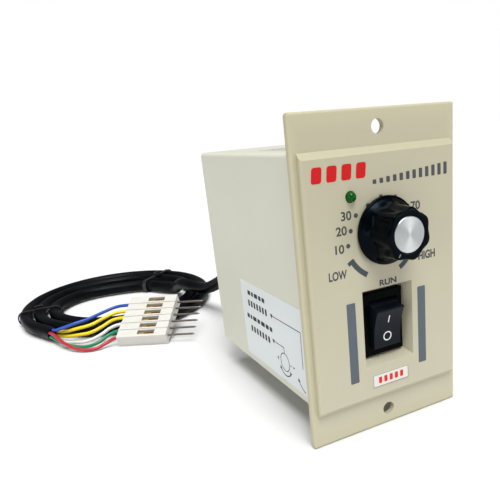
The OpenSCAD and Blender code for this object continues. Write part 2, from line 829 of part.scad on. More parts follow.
// Bezel and body of the switch in one moulding, open to the front
module switch_body() {
    color([0.05, 0.05, 0.06]) translate([0, 0, switch_z]) difference() {
        union() {
            soft_slab(bezel_w, bezel_h, bezel_y, well_floor_y, bezel_t / 4, bezel_t / 3);
            block_y(well_floor_y - bezel_t / 2, switch_back_y, switch_body_w, switch_body_h);
            for (flip = [0, 1]) mirror([0, 0, flip]) translate([0, 0, switch_body_h / 2])
                sideways(spade_w)
                    polygon([[well_floor_y + well_floor_t + slide_gap, 0],
                             [well_floor_y + well_floor_t + slide_gap, wing_out],
                             [well_floor_y + well_floor_t + wing_l, 0]]);
        }
        block_y(bezel_y - cut, switch_back_y - switch_back_t, switch_room_w, switch_room_h);
        translate([0, pivot_y, 0]) rotate([0, 90, 0])
            cylinder(h = rocker_w + 2 * pivot_pin_l + 2 * slide_gap, d = pivot_pin_d + 2 * run_gap,
                     center = true);
        for (z = [0, -spade_z]) block_y_at(0, z, switch_back_y - switch_back_t - cut,
                                           switch_back_y + cut, spade_w + 2 * run_gap,
                                           spade_t + 2 * run_gap);
    }
}

// Rocker with a dished face and round ends, in the off position, with its stem and pivots
module switch_rocker() {
    color([0.05, 0.05, 0.06]) translate([0, pivot_y, switch_z]) rotate([rocker_tilt, 0, 0])
        difference() {
            union() {
                sideways(rocker_w) difference() {
                    union() {
                        circle(rocker_l / 2);
                        for (flip = [0, 1]) mirror([0, flip])
                            polygon([[-head_in, 0], [-head_in, rocker_l / 2 - head_step],
                                     [-head_out + head_edge, rocker_l / 2 - head_step],
                                     [-head_out, rocker_l / 2 - head_step - head_edge / 2],
                                     [-head_out, 0]]);
                    }
                    translate([-dish_in - dish_r, 0]) circle(dish_r, $fn = 180);
                    translate([rocker_back, -rocker_l]) square([rocker_l, 2 * rocker_l]);
                }
                rotate([0, 90, 0]) cylinder(h = rocker_w + 2 * pivot_pin_l, d = pivot_pin_d,
                                            center = true);
                bar_y(0, stem_l, stem_d);
            }
            bar_y(0, stem_l + cut, plunger_d + 2 * run_gap);
        }
}

module switch_plunger() {
    color([0.85, 0.85, 0.80]) translate([0, pivot_y, switch_z]) rotate([rocker_tilt, 0, 0]) {
        bar_y(stem_l / 2 + slide_gap, plunger_reach - plunger_d / 2, plunger_d);
        translate([0, plunger_reach - plunger_d / 2, 0]) rotate([0, 0, 90])
            rotate_extrude() intersection() {
                circle(plunger_d / 2);
                translate([0, -plunger_d]) square([plunger_d, 2 * plunger_d]);
            }
    }
}

// Small compression spring in the rocker's stem, wound by a formula
spring_l = stem_l / 2;
spring_steps = 8;
spring_path = [for (i = [0 : spring_turns * spring_steps])
    let (a = 360 * i / spring_steps, y = spring_wire + (spring_l - 2 * spring_wire) * i
         / (spring_turns * spring_steps))
    [(spring_d - spring_wire) / 2 * cos(a), (spring_d - spring_wire) / 2 * sin(a), y]];

function spring_ring(p, i, r) =
    let (a = 360 * i / spring_steps, out = [cos(a), sin(a), 0])
    [p + r * out, p + [0, 0, r], p - r * out, p - [0, 0, r]];

module plunger_spring() {
    last = len(spring_path) - 1;
    rings = [for (i = [0 : last]) each spring_ring(spring_path[i], i, spring_wire / 2)];
    walls = [for (i = [0 : last - 1], k = [0 : 3]) each
             [for (f = ring_face(i, k, 4)) [f[0], f[2], f[1]]]];
    color("silver") translate([0, pivot_y, switch_z]) rotate([rocker_tilt, 0, 0]) rearward()
        polyhedron(points = rings, faces = concat([[0, 1, 2], [0, 2, 3]], walls,
                   [[last * 4, last * 4 + 2, last * 4 + 1], [last * 4, last * 4 + 3, last * 4 + 2]]));
}

// Seesaw contact under the plunger: it rocks on a round rib that sits in the middle terminal
module contact_lever() {
    color([0.85, 0.55, 0.25]) translate([0, lever_y, switch_z]) rotate([-lever_tilt, 0, 0]) {
        block_y(-lever_t / 2, lever_t / 2, lever_w, lever_l);
        rotate([0, 90, 0]) cylinder(h = lever_w, d = lever_pivot_d, center = true);
        translate([0, lever_t / 2, -lever_l / 2 + lever_pad_d / 2])
            bar_y(-lever_t / 4, lever_pad_t, lever_pad_d);
    }
}

// Two spade terminals: the middle one carries the seesaw, the lower one the fixed contact
module switch_terminals() {
    room_back = switch_back_y - switch_back_t;
    color([0.80, 0.65, 0.30]) translate([0, 0, switch_z]) {
        for (z = [0, -spade_z])
            block_y_at(0, z, room_back, switch_back_y + spade_l, spade_w, spade_t);
        difference() {
            block_y(lever_y + lever_t / 2 + 2 * run_gap, room_back, lever_w, lever_pivot_d);
            translate([0, lever_y, 0]) rotate([0, 90, 0])
                cylinder(h = 2 * lever_w, d = lever_pivot_d + 2 * run_gap, center = true);
        }
        translate([0, 0, -lever_l / 2 + lever_pad_d / 2])
            bar_y(room_back - lever_pad_t / 2, room_back, lever_pad_d);
    }
}

module front_board() {
    color([0.10, 0.38, 0.20]) translate([front_board_x, 0, front_board_z]) difference() {
        block_y(front_board_y, front_board_y + board_t, front_board_w, front_board_h);
        for (s = [-1, 1]) translate([s * post_x, 0, s * post_z])
            bar_y(front_board_y - cut, front_board_y + board_t + cut, board_screw_d + slide_gap);
        for (x = [-1, 0, 1]) block_y_at(x * pot_leg_pitch - front_board_x,
            knob_z - pot_d / 3 - front_board_z, front_board_y - cut,
            front_board_y + board_t + cut, pot_leg_w + slide_gap, pot_leg_t + slide_gap);
        for (s = [-1, 1]) block_y_at(lamp_x - front_board_x + s * lamp_leg_pitch / 2,
            lamp_z - front_board_z, front_board_y - cut, front_board_y + board_t + cut,
            lamp_leg + slide_gap, lamp_leg + slide_gap);
    }
}

module front_board_screws() {
    seat = front_board_y + board_t;
    color([0.7, 0.7, 0.72]) for (s = [-1, 1])
        translate([front_board_x + s * post_x, 0, front_board_z + s * post_z]) difference() {
            union() {
                bar_y(seat, seat + board_screw_head_t, board_screw_head_d);
                bar_y(seat - board_screw_l, seat, pilot_d - 2 * run_gap);
            }
            block_y(seat + board_screw_head_t / 2, seat + board_screw_head_t + cut,
                    board_screw_head_d, board_screw_head_t / 3);
        }
}

// Short wires between the two boards
module board_link() {
    y0 = front_board_y + board_t;
    x0 = front_board_x + front_board_w / 2 - lead_wire_d;
    reach = board_x - x0;
    color([0.8, 0.2, 0.15]) for (k = [-1, 0, 1])
        tube([[x0, y0, knob_z + k * pot_leg_pitch],
              [x0, y0 + lead_wire_d, knob_z + k * pot_leg_pitch],
              [x0 + reach * link_near_share, y0 + 3 * lead_wire_d, knob_z + k * pot_leg_pitch],
              [x0 + reach * link_far_share, board_front + lead_wire_d, knob_z + k * pot_leg_pitch],
              [board_x - lead_wire_d, board_front + 2 * lead_wire_d, knob_z + k * pot_leg_pitch],
              [board_x, board_front + 2 * lead_wire_d, knob_z + k * pot_leg_pitch]],
             lead_wire_d, core_sides);
}

module main_board() {
    color([0.10, 0.38, 0.20])
        translate([board_x, board_front, -board_h / 2]) cube([board_t, board_l, board_h]);
}

// Puts a part on the board's inner face at shares of its length and half height; the part
// grows along +X there, which points to the middle of the box
module on_board(s) {
    translate([board_x, board_front + s[0] * board_l, s[1] * board_h / 2]) mirror([1, 0, 0])
        children();
}

// A block that stands on the board: height off the board, length along it, height up it
module board_block(size) {
    translate([0, -size[1] / 2, -size[2] / 2]) cube(size);
}

// A round part that stands on the board
module board_round(h, d) {
    rotate([0, 90, 0]) cylinder(h = h, d = d);
}

module film_capacitor() {
    color([0.75, 0.15, 0.12]) on_board(film_share) board_block(film_size);
}

module bulk_capacitors() {
    color([0.12, 0.14, 0.30]) {
        on_board(bulk_share) board_round(bulk_l, bulk_d);
        on_board(bulk_two_share) board_round(bulk_two_l, bulk_two_d);
    }
}

// Base plate on the board with fins that stand off it, and a flat seat for the triac
module heat_sink() {
    step = (sink_size[1] - sink_fin_t) / (sink_fins - 1);
    color([0.62, 0.63, 0.65]) on_board(sink_share) difference() {
        union() {
            board_block([sink_base_t, sink_size[1], sink_size[2]]);
            for (k = [0 : sink_fins - 1]) if (k != 1)
                translate([0, -sink_size[1] / 2 + k * step, -sink_size[2] / 2])
                    cube([sink_size[0], sink_fin_t, sink_size[2]]);
        }
        triac_hole();
    }
}

// The triac sits between the first and the third fin
triac_shift = -(sink_size[1] - sink_fin_t) / (sink_fins - 1);
module at_triac() {
    translate([sink_base_t, triac_shift, 0]) children();
}
module triac_hole() {
    at_triac() translate([-sink_base_t + slide_gap, 0, triac_h / 2 - triac_w / 3])
        rotate([0, 90, 0]) cylinder(h = sink_base_t + cut, d = screw_d - 2 * run_gap);
}

module triac() {
    leg_h = triac_leg_l;
    color([0.08, 0.08, 0.09]) on_board(sink_share) at_triac() {
        difference() {
            translate([0, -triac_w / 2, -triac_h / 2]) cube([triac_tab_t, triac_w, triac_h]);
            translate([-cut, 0, triac_h / 2 - triac_w / 3]) rotate([0, 90, 0])
                cylinder(h = triac_tab_t + 2 * cut, d = screw_d + slide_gap);
        }
        translate([0, -triac_w / 2, -triac_h / 2]) cube([triac_body_t, triac_w, triac_body_h]);
        for (k = [-1, 0, 1])
            translate([triac_body_t / 2, k * triac_w / 4 - triac_leg_w / 2, -triac_h / 2 - leg_h])
                cube([chip_leg_t, triac_leg_w, leg_h + chip_leg_t]);
    }
}

module triac_screw() {
    color([0.7, 0.7, 0.72]) on_board(sink_share) at_triac()
        translate([triac_tab_t, 0, triac_h / 2 - triac_w / 3]) rotate([0, 90, 0]) difference() {
            union() {
                cylinder(h = screw_head_t, d = screw_head_d);
                translate([0, 0, -triac_tab_t - sink_base_t / 2])
                    cylinder(h = triac_tab_t + sink_base_t / 2, d = screw_d - 4 * run_gap);
            }
            translate([-screw_head_d, -screw_head_t / 6, screw_head_t / 2])
                cube([2 * screw_head_d, screw_head_t / 3, screw_head_t]);
        }
}

module power_resistor() {
    color([0.86, 0.86, 0.82]) on_board(resistor_share) board_block(resistor_size);
}

module fuse() {
    color([0.80, 0.85, 0.86]) on_board(fuse_share) translate([fuse_d / 2 + clip_t, 0, 0]) {
        bar_y(-fuse_l / 2 + slide_gap, fuse_l / 2 - slide_gap, fuse_tube_d);
        for (s = [-1, 1]) translate([0, s * (fuse_l - fuse_cap_l) / 2, 0])
            bar_y(-fuse_cap_l / 2, fuse_cap_l / 2, fuse_d);
    }
}

// Two sprung clips, each a folded strip round the fuse's end cap
module fuse_clips() {
    grip = fuse_d + 2 * run_gap;
    color([0.80, 0.65, 0.30]) on_board(fuse_share)
        for (s = [-1, 1]) translate([fuse_d / 2 + clip_t, s * (fuse_l - fuse_cap_l) / 2, 0])
            difference() {
                union() {
                    bar_y(-clip_w / 2, clip_w / 2, grip + 2 * clip_t);
                    translate([-fuse_d / 2 - clip_t, -clip_w / 2, -fuse_d / 2])
                        cube([fuse_d / 2, clip_w, fuse_d]);
                }
                bar_y(-clip_w, clip_w, grip);
                translate([fuse_d / 4, -clip_w, -fuse_d]) cube([fuse_d, 2 * clip_w, 2 * fuse_d]);
                translate([-fuse_d - clip_t * 2 - fuse_d / 2, -clip_w, -fuse_d])
                    cube([fuse_d + clip_t, 2 * clip_w, 2 * fuse_d]);
            }
}

module choke_core() {
    color([0.20, 0.20, 0.22]) on_board(choke_share) {
        board_round(choke_l, choke_core_d);
        board_round(choke_flange_t, choke_d);
        translate([choke_l - choke_flange_t, 0, 0]) board_round(choke_flange_t, choke_d);
    }
}

module choke_winding() {
    color([0.70, 0.35, 0.15]) on_board(choke_share)
        translate([choke_flange_t + run_gap, 0, 0]) difference() {
            board_round(choke_l - 2 * choke_flange_t - 2 * run_gap,
                        choke_core_d + 2 * choke_wire_t);
            translate([-cut, 0, 0]) board_round(choke_l + cut, choke_core_d + 2 * run_gap);
        }
}

module control_chip() {
    color([0.08, 0.08, 0.09]) on_board(chip_share) {
        translate([chip_leg_w, 0, 0]) board_block(chip_size);
        for (k = [0 : chip_legs - 1], s = [-1, 1])
            translate([0, (k - (chip_legs - 1) / 2) * chip_leg_pitch - chip_leg_w / 2,
                       s * (chip_size[2] + chip_leg_t) / 2 - chip_leg_t / 2])
                cube([chip_leg_w + chip_size[0] / 2, chip_leg_w, chip_leg_t]);
    }
}

module varistor() {
    color([0.15, 0.30, 0.65]) on_board(varistor_share) translate([varistor_d / 2, 0, 0])
        bar_y(-varistor_t / 2, varistor_t / 2, varistor_d);
}

// A small body along Y on two bent legs
module axial_part(l, d, leg) {
    translate([d / 2 + leg, 0, 0]) {
        bar_y(-l / 2, l / 2, d);
        for (s = [-1, 1]) {
            translate([0, min(s * l / 2, s * (l / 2 + leg * 2)), 0])
                bar_y(0, leg * 2, leg);
            translate([-d / 2 - leg, s * (l / 2 + 1.5 * leg), 0]) rotate([0, 90, 0])
                cylinder(h = d / 2 + 1.5 * leg, d = leg);
        }
    }
}

module diodes() {
    color([0.1, 0.1, 0.1]) for (s = diode_shares) on_board(s) axial_part(diode_l, diode_d, diode_leg);
}

module small_resistors() {
    color([0.75, 0.62, 0.45]) for (s = small_shares) on_board(s) axial_part(small_l, small_d, small_leg);
}

// Screw block for the cable's cores, with a wire entry and a screw well for each pole
module terminal_block() {
    color([0.10, 0.35, 0.25]) on_board(block_share) difference() {
        board_block(block_size);
        for (k = [0 : poles - 1])
            translate([0, 0, (k - (poles - 1) / 2) * block_pole]) {
                translate([block_size[0] - entry_l, 0, 0]) board_round(block_size[0], entry_d);
                translate([block_size[0] - entry_l / 2, -block_size[1], 0])
                    bar_y(0, block_size[1] / 2 + well_l, well_d);
            }
    }
}

// Cores inside the box, from the end of the jacket to the terminal block
block_face = [board_x - block_size[0], board_front + block_share[0] * board_l,
              block_share[1] * board_h / 2];
jacket_end = [-cord_left, body_d - body_wall - jacket_in, -cord_below];
module inner_cores() {
    way = block_face - jacket_end;
    color([0.20, 0.35, 0.75]) for (k = [0 : poles - 1]) {
        out = [(k % 2 == 0 ? -1 : 1) * bundle_step / 2, 0, (floor(k / 2) - 1) * bundle_step];
        end = [0, 0, (k - (poles - 1) / 2) * block_pole];
        tube([jacket_end + out, jacket_end + out - [0, core_d, 0],
              jacket_end + [for (i = [0 : 2]) way[i] * near_share[i]]
                  + out * (1 - near_fan_share) + end * near_fan_share,
              jacket_end + [for (i = [0 : 2]) way[i] * far_share[i]]
                  + out * (1 - far_fan_share) + end * far_fan_share,
              block_face + end - [core_d, 0, 0], block_face + end + [core_d, 0, 0]],
             inner_core_d, coil_sides);
    }
}

// Two wires from the switch's spades to the main board
module switch_wires() {
    y0 = switch_back_y + spade_l;
    color([0.1, 0.1, 0.1]) for (z = [0, -spade_z])
        tube([[0, y0, switch_z + z], [0, y0 + lead_wire_d, switch_z + z],
              [board_x * wire_near_share, y0 + 3 * lead_wire_d, switch_z + z],
              [board_x * wire_far_share, y0 + 4 * lead_wire_d, switch_z + z],
              [board_x - lead_wire_d, y0 + 4 * lead_wire_d, switch_z + z],
              [board_x, y0 + 4 * lead_wire_d, switch_z + z]],
             lead_wire_d, coil_sides);
}

module cord_lead() {
    color([0.04, 0.04, 0.05]) tube(lead_path, cord_d, lead_sides);
}

module cord_coil() {
    color([0.04, 0.04, 0.05]) tube(coil_path, cord_d, coil_sides);
}

// A strap round three turns that lie side by side, with a small lock on top
module coil_tie(a) {
    inner = coil_point(a - 360 * floor((a - coil_start) / 360));
    outer = coil_point(a + 360 * (coil_turns > 2 ? 2 : 1) - 360 * floor((a - coil_start) / 360));
    span = norm(outer - inner) + cord_d + 2 * tie_end_gap;
    way = outer - inner;
    translate((inner + outer) / 2) rotate([0, 0, atan2(way[1], way[0])]) {
        difference() {
            upright(-tie_w / 2, tie_w / 2)
                round_rect(span + 2 * tie_t, cord_d + 2 * tie_t + tie_gap, cord_d / 2);
            upright(-tie_w, tie_w) round_rect(span, cord_d + tie_gap, cord_d / 2 - tie_t);
        }
        translate([-tie_knot_l / 2, -tie_w / 2, cord_d / 2 + tie_t])
            cube([tie_knot_l, tie_w, tie_knot_t]);
    }
}

module coil_tie_left() {
    color([0.03, 0.03, 0.03]) coil_tie(tie_left_at);
}

module coil_tie_right() {
    color([0.03, 0.03, 0.03]) coil_tie(tie_right_at);
}

module core(i, c) {
    color(c) tube(core_path(i), core_d, core_sides);
}

module core_blue() core(0, [0.10, 0.25, 0.70]);
module core_yellow_upper() core(1, [0.93, 0.80, 0.10]);
module core_yellow_lower() core(2, [0.93, 0.80, 0.10]);
module core_white() core(3, [0.90, 0.90, 0.88]);
module core_green() core(4, [0.05, 0.50, 0.30]);
module core_red() core(5, [0.80, 0.15, 0.18]);

// Nylon comb: a channel for each pole, a window over each terminal, ridges between them
module connector_housing() {
    color([0.90, 0.89, 0.84]) at_connector() difference() {
        union() {
            cube([connector_l, connector_w, connector_t]);
            for (i = [0 : poles]) translate([0, pole_y(i) + (pole_pitch - ridge_w) / 2, 0])
                if (i > 0 && i < poles) cube([connector_l, ridge_w, connector_t + ridge_h]);
        }
        for (i = [0 : poles - 1]) translate([0, pole_y(i), connector_t / 2]) {
            rotate([0, 90, 0]) translate([0, 0, core_seat])
                cylinder(h = connector_l, d = pin_d + 2 * run_gap);
            translate([window_from, -window_w / 2, -terminal_t / 2 - slide_gap])
                cube([window_l, window_w, connector_t]);
        }
    }
}

// A folded terminal seen in each window
module connector_terminals() {
    color([0.80, 0.65, 0.30]) at_connector() for (i = [0 : poles - 1])
        translate([window_from + (window_l - terminal_l) / 2, pole_y(i) - terminal_w / 2,
                   connector_t / 2 - terminal_t / 2]) difference() {
            cube([terminal_l, terminal_w, terminal_t * 2]);
            translate([terminal_l - terminal_open_l, terminal_wall, terminal_t])
                cube([terminal_l, terminal_w - 2 * terminal_wall, terminal_t * 2]);
            translate([-cut, terminal_w / 2, terminal_t / 2]) rotate([0, 90, 0])
                cylinder(h = terminal_l + 2 * cut, d = pin_d + 2 * run_gap);
        }
}

module connector_pins() {
    color([0.72, 0.70, 0.68]) at_connector() for (i = [0 : poles - 1])
        translate([connector_l - pin_in, pole_y(i), connector_t / 2]) rotate([0, 90, 0]) {
            cylinder(h = pin_in + pin_l - pin_d, d = pin_d);
            translate([0, 0, pin_in + pin_l - pin_d])
                cylinder(h = pin_d, d1 = pin_d, d2 = pin_d / 2, $fn = 24);
        }
}

module side_label() {
    color([0.95, 0.95, 0.95])
        translate([-body_w / 2 - label_t, side_label_y, side_label_z - side_label_h / 2])
            cube([label_t, side_label_w, side_label_h]);
}

module top_label() {
    color([0.95, 0.95, 0.95]) translate([-top_label_w / 2, top_label_y, body_h / 2])
        cube([top_label_w, top_label_l, label_t]);
}

module front_sticker() {
    color([0.95, 0.95, 0.95])
        block_y_at(0, sticker_z, face_y - label_t, face_y, sticker_w, sticker_h);
}

front_panel();
housing();
strain_relief();
status_lamp();
lamp_legs();
knob();
knob_cap();
knob_insert();
knob_grub_screw();
pot_shaft();
pot_wiper();
pot_bushing();
pot_case();
pot_track();
pot_legs();
pot_washer();
pot_nut();
switch_body();
switch_rocker();
switch_plunger();
plunger_spring();
contact_lever();
switch_terminals();
front_board();
front_board_screws();
board_link();
main_board();
film_capacitor();
bulk_capacitors();
heat_sink();
triac();
triac_screw();
power_resistor();
fuse();
fuse_clips();
choke_core();
choke_winding();
control_chip();
varistor();
diodes();
small_resistors();
terminal_block();
inner_cores();
switch_wires();
cord_lead();
cord_coil();
coil_tie_left();
coil_tie_right();
core_blue();
core_yellow_upper();
core_yellow_lower();
core_white();
core_green();
core_red();
connector_housing();
connector_terminals();
connector_pins();
side_label();
top_label();
front_sticker();
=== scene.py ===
"""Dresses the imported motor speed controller: camera, lead, knob, printed dial and finishes."""

import math
import bpy
import bmesh
from mathutils import Matrix, Vector


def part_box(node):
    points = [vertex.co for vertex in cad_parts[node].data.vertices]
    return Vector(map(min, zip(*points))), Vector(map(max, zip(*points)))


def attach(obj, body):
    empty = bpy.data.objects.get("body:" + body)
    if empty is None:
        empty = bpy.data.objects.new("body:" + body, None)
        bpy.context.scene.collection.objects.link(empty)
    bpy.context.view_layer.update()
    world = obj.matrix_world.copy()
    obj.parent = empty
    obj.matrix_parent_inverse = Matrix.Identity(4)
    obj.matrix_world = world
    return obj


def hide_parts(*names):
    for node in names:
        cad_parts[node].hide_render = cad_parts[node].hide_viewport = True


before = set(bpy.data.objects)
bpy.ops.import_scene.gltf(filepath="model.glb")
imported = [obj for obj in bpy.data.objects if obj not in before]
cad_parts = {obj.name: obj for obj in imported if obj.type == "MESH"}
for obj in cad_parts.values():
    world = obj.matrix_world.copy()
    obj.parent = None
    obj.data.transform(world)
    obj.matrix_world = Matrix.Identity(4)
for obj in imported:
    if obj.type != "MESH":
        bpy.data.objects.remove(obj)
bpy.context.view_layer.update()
MM = 0.001
TURN = 2 * math.pi


def mm(*lengths):
    """Millimetres as a point in metres."""
    return Vector([value * MM for value in lengths])


# Sizes of the frame that the pieces follow, in millimetres
face_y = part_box("front_panel")[0][1] / MM
floor_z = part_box("front_panel")[0][2] / MM
knob_low, knob_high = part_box("knob")
knob_z = (knob_low[2] + knob_high[2]) / 2 / MM
knob_front = knob_low[1] / MM
knob_back = knob_high[1] / MM
floor_gap = 0.1
print_lift = 0.02
print_thick = 0.02

# The lead's route, as the part's source gives it
cord_d = 7
tie_t = 0.8
tie_gap = 0.1
cord_rest = floor_z + tie_t + tie_gap + cord_d / 2
coil_centre = (-50, 218)
coil_rx = 57
coil_ry = 66
coil_start = 20
coil_turns = 2.54
coil_fan = 12
coil_entry = 6
coil_rings = 24
turn_pitch = 7.8
LEAD_POINTS = [(-2.5, 111, -20), (-2.5, 122, -20.8), (-3, 134, -24), (-4, 146, -29.5),
               (-5.5, 158, -35), (-7.5, 169, -39), (-10, 180, -40.4), (-13, 190, -40.2),
               (-14.6, 198, -40.8), (-14.9, 207, -43.8)]
core_d = 1.8
core_ring_r = 2.3
CORE_NAMES = ["core_blue", "core_yellow_upper", "core_yellow_lower", "core_white",
              "core_green", "core_red"]
CORE_POINTS = [
    [(-90.5, 167.3, -43.9), (-84, 164.2, -42), (-76, 164.5, -41), (-68, 167, -39.8),
     (-61, 167.6, -38.6)],
    [(-88.6, 168.1, -46.2), (-82.5, 162.5, -44.4), (-76, 160.6, -43.4), (-69, 162.2, -41.9),
     (-62.5, 163, -40.6)],
    [(-88.8, 168.1, -49), (-82.5, 160.3, -47.4), (-77, 157, -46.4), (-71, 157.6, -44.9),
     (-65, 158.8, -43)],
    [(-91, 167.2, -51.2), (-85.5, 159, -50.6), (-79.5, 153.6, -49.6), (-73, 152.6, -47.6),
     (-67, 154, -45.4)],
    [(-93.4, 166.1, -49.6), (-88, 156.5, -51), (-81.5, 149.8, -51.2), (-75, 148.2, -49.8),
     (-69.2, 149.6, -47.6)],
    [(-94, 166, -47), (-90.2, 155.5, -49.4), (-84, 146.6, -51.2), (-77.5, 143.6, -51.2),
     (-71.5, 144.8, -50)]]
connector_at = Vector((-66, 142, floor_z))
connector_yaw = -32
connector_lean = 24
connector_t = 6.5
connector_end = 3
pole_pitch = 5.08
poles = 6


# Camera, light and floor
def place_camera():
    """A camera fitted to the photograph's corners and holes."""
    data = bpy.data.cameras.new("camera")
    camera = bpy.data.objects.new("camera", data)
    bpy.context.collection.objects.link(camera)
    turn = Matrix(((0.871925, 0.212668, -0.441043), (-0.483188, 0.227986, -0.845311),
                   (-0.079219, 0.950155, 0.301546)))
    camera.matrix_world = Matrix.Translation(mm(-100.02, -141.68, 48.39)) @ turn.to_4x4()
    picture = 500
    focal_px = 547.2
    middle_px = (310.57, 300.18)
    data.sensor_width = 36
    data.lens = focal_px / picture * data.sensor_width
    data.shift_x = (picture / 2 - middle_px[0]) / picture
    data.shift_y = (middle_px[1] - picture / 2) / picture
    data.clip_start = MM
    bpy.context.scene.camera = camera


def soft_sun(name, way, strength, spread):
    """A broad distant light that shines from a direction onto the object."""
    data = bpy.data.lights.new(name, "SUN")
    data.energy = strength
    data.angle = math.radians(spread)
    lamp = bpy.data.objects.new(name, data)
    bpy.context.collection.objects.link(lamp)
    lamp.location = Vector(way)
    lamp.rotation_euler = (-Vector(way)).to_track_quat("-Z", "Y").to_euler()


def light_the_stage():
    """A white surround, a soft key from above the front, a broad top light and weak sides."""
    scene = bpy.context.scene
    scene.world = bpy.data.worlds.new("studio")
    scene.world.use_nodes = True
    tree = scene.world.node_tree
    sky = tree.nodes["Background"]
    sky.inputs["Color"].default_value = (1, 1, 1, 1)
    seen = tree.nodes.new("ShaderNodeLightPath")
    strength = tree.nodes.new("ShaderNodeMapRange")
    strength.inputs["To Min"].default_value = 0.2
    strength.inputs["To Max"].default_value = 1
    tree.links.new(seen.outputs["Is Camera Ray"], strength.inputs["Value"])
    tree.links.new(strength.outputs["Result"], sky.inputs["Strength"])
    soft_sun("key", (-0.1, -0.5, 0.86), 2.4, 30)
    soft_sun("top", (0, -0.1, 1), 1.9, 50)
    soft_sun("side", (-0.95, -0.2, 0.2), 0.8, 40)
    soft_sun("fill", (0.6, -0.75, 0.08), 0.45, 22)
    scene.view_settings.view_transform = "Standard"


def lay_floor():
    """A plain pale floor just under the part."""
    bpy.ops.mesh.primitive_plane_add(size=6, location=mm(0, 0, floor_z - floor_gap))
    floor = bpy.context.object
    floor.name = "floor"
    look = Look("pale_floor")
    speck = look.noise(3, 2) * 0.02 + 0.72
    look.set("Base Color", look.grey(speck))
    look.set("Roughness", 0.9)
    floor.data.materials.append(look.material)


# Shader maths
class Value:
    """A socket of one look; arithmetic on it adds Math nodes."""

    def __init__(self, look, socket):
        self.look = look
        self.socket = socket

    def math(self, operation, other=0.0):
        return self.look.node("ShaderNodeMath", {"operation": operation}, {0: self, 1: other})

    def __add__(self, other):
        return self.math("ADD", other)

    __radd__ = __add__

    def __sub__(self, other):
        return self.math("SUBTRACT", other)

    def __rsub__(self, other):
        return self.look.node("ShaderNodeMath", {"operation": "SUBTRACT"}, {0: other, 1: self})

    def __mul__(self, other):
        return self.math("MULTIPLY", other)

    __rmul__ = __mul__

    def __truediv__(self, other):
        return self.math("DIVIDE", other)

    def __pow__(self, other):
        return self.math("POWER", other)

    def clamp(self):
        return self.math("MINIMUM", 1).math("MAXIMUM", 0)


class Look:
    """One procedural material."""

    def __init__(self, name, **constants):
        self.material = bpy.data.materials.new(name)
        self.material.use_nodes = True
        self.tree = self.material.node_tree
        self.shader = self.tree.nodes["Principled BSDF"]
        for socket, value in constants.items():
            self.set(socket.replace("_", " "), value)

    def node(self, kind, settings=None, sockets=None, give=0):
        """Adds a node: its settings first, then the values or links of its sockets."""
        made = self.tree.nodes.new(kind)
        for key, value in (settings or {}).items():
            if key == "stops":
                self.set_stops(made.color_ramp.elements, value)
            else:
                setattr(made, key, value)
        for slot, value in (sockets or {}).items():
            self.plug(made.inputs[slot], value)
        return Value(self, made.outputs[give])

    def set_stops(self, ramp, pairs):
        while len(ramp) < len(pairs):
            ramp.new(0.5)
        for stop, (at, grey) in zip(ramp, pairs):
            stop.position = at
            stop.color = (grey, grey, grey, 1)

    def plug(self, socket, value):
        if isinstance(value, Value):
            self.tree.links.new(value.socket, socket)
        elif socket.type == "RGBA" and len(value) == 3:
            socket.default_value = (*value, 1)
        else:
            socket.default_value = value

    def set(self, socket, value):
        self.plug(self.shader.inputs[socket], value)

    def place(self):
        return self.node("ShaderNodeTexCoord", give="Object")

    def stretched(self, scale, place=None):
        return self.node("ShaderNodeMapping", None,
                         {"Vector": place or self.place(), "Scale": scale})

    def axes(self, place=None):
        first = self.node("ShaderNodeSeparateXYZ", None, {0: place or self.place()})
        return [Value(self, output) for output in first.socket.node.outputs]

    def noise(self, scale, detail=3, rough=0.5, place=None):
        return self.node("ShaderNodeTexNoise", None,
                         {"Vector": place or self.place(), "Scale": scale, "Detail": detail,
                          "Roughness": rough})

    def cells(self, scale, place=None):
        return self.node("ShaderNodeTexVoronoi", None,
                         {"Vector": place or self.place(), "Scale": scale})

    def stops(self, value, *pairs):
        """A ramp through (place, grey) pairs."""
        return self.node("ShaderNodeValToRGB", {"stops": pairs}, {0: value})

    def mix(self, share, first, second):
        """A blend of two colours, each three numbers or a link."""
        return self.node("ShaderNodeMix", {"data_type": "RGBA"}, {0: share, 6: first, 7: second},
                         give=2)

    def grey(self, value):
        return self.mix(value, (0, 0, 0), (1, 1, 1))

    def bump(self, height, strength, distance):
        self.set("Normal", self.node("ShaderNodeBump", None, {
            "Strength": strength, "Distance": distance, "Height": height}))


# Finishes
def grained(name, grain, depth, rough, **constants):
    """The skin of moulded plastic: a spark-eroded grain and a few scuffs."""
    look = Look(name, **constants)
    fine = look.noise(grain, 2)
    scuff = look.stops(look.noise(240, 4, 0.6, look.stretched((1, 1, 0.25))),
                       (0.62, 0), (0.74, 1))
    look.set("Roughness", (rough + 0.08 * (fine - 0.5) - 0.06 * scuff).clamp())
    look.bump(fine + 0.2 * scuff, 0.35, depth)
    return look


def moulded(name, colour, grain=2600, depth=0.00003, rough=0.5, drift=0.06, **constants):
    """Grained plastic whose colour drifts slowly over the piece."""
    look = grained(name, grain, depth, rough, **constants)
    dark = tuple(part * (1 - drift) for part in colour)
    light = tuple(min(1, part * (1 + drift)) for part in colour)
    look.set("Base Color", look.mix(look.noise(45, 3), dark, light))
    return look.material


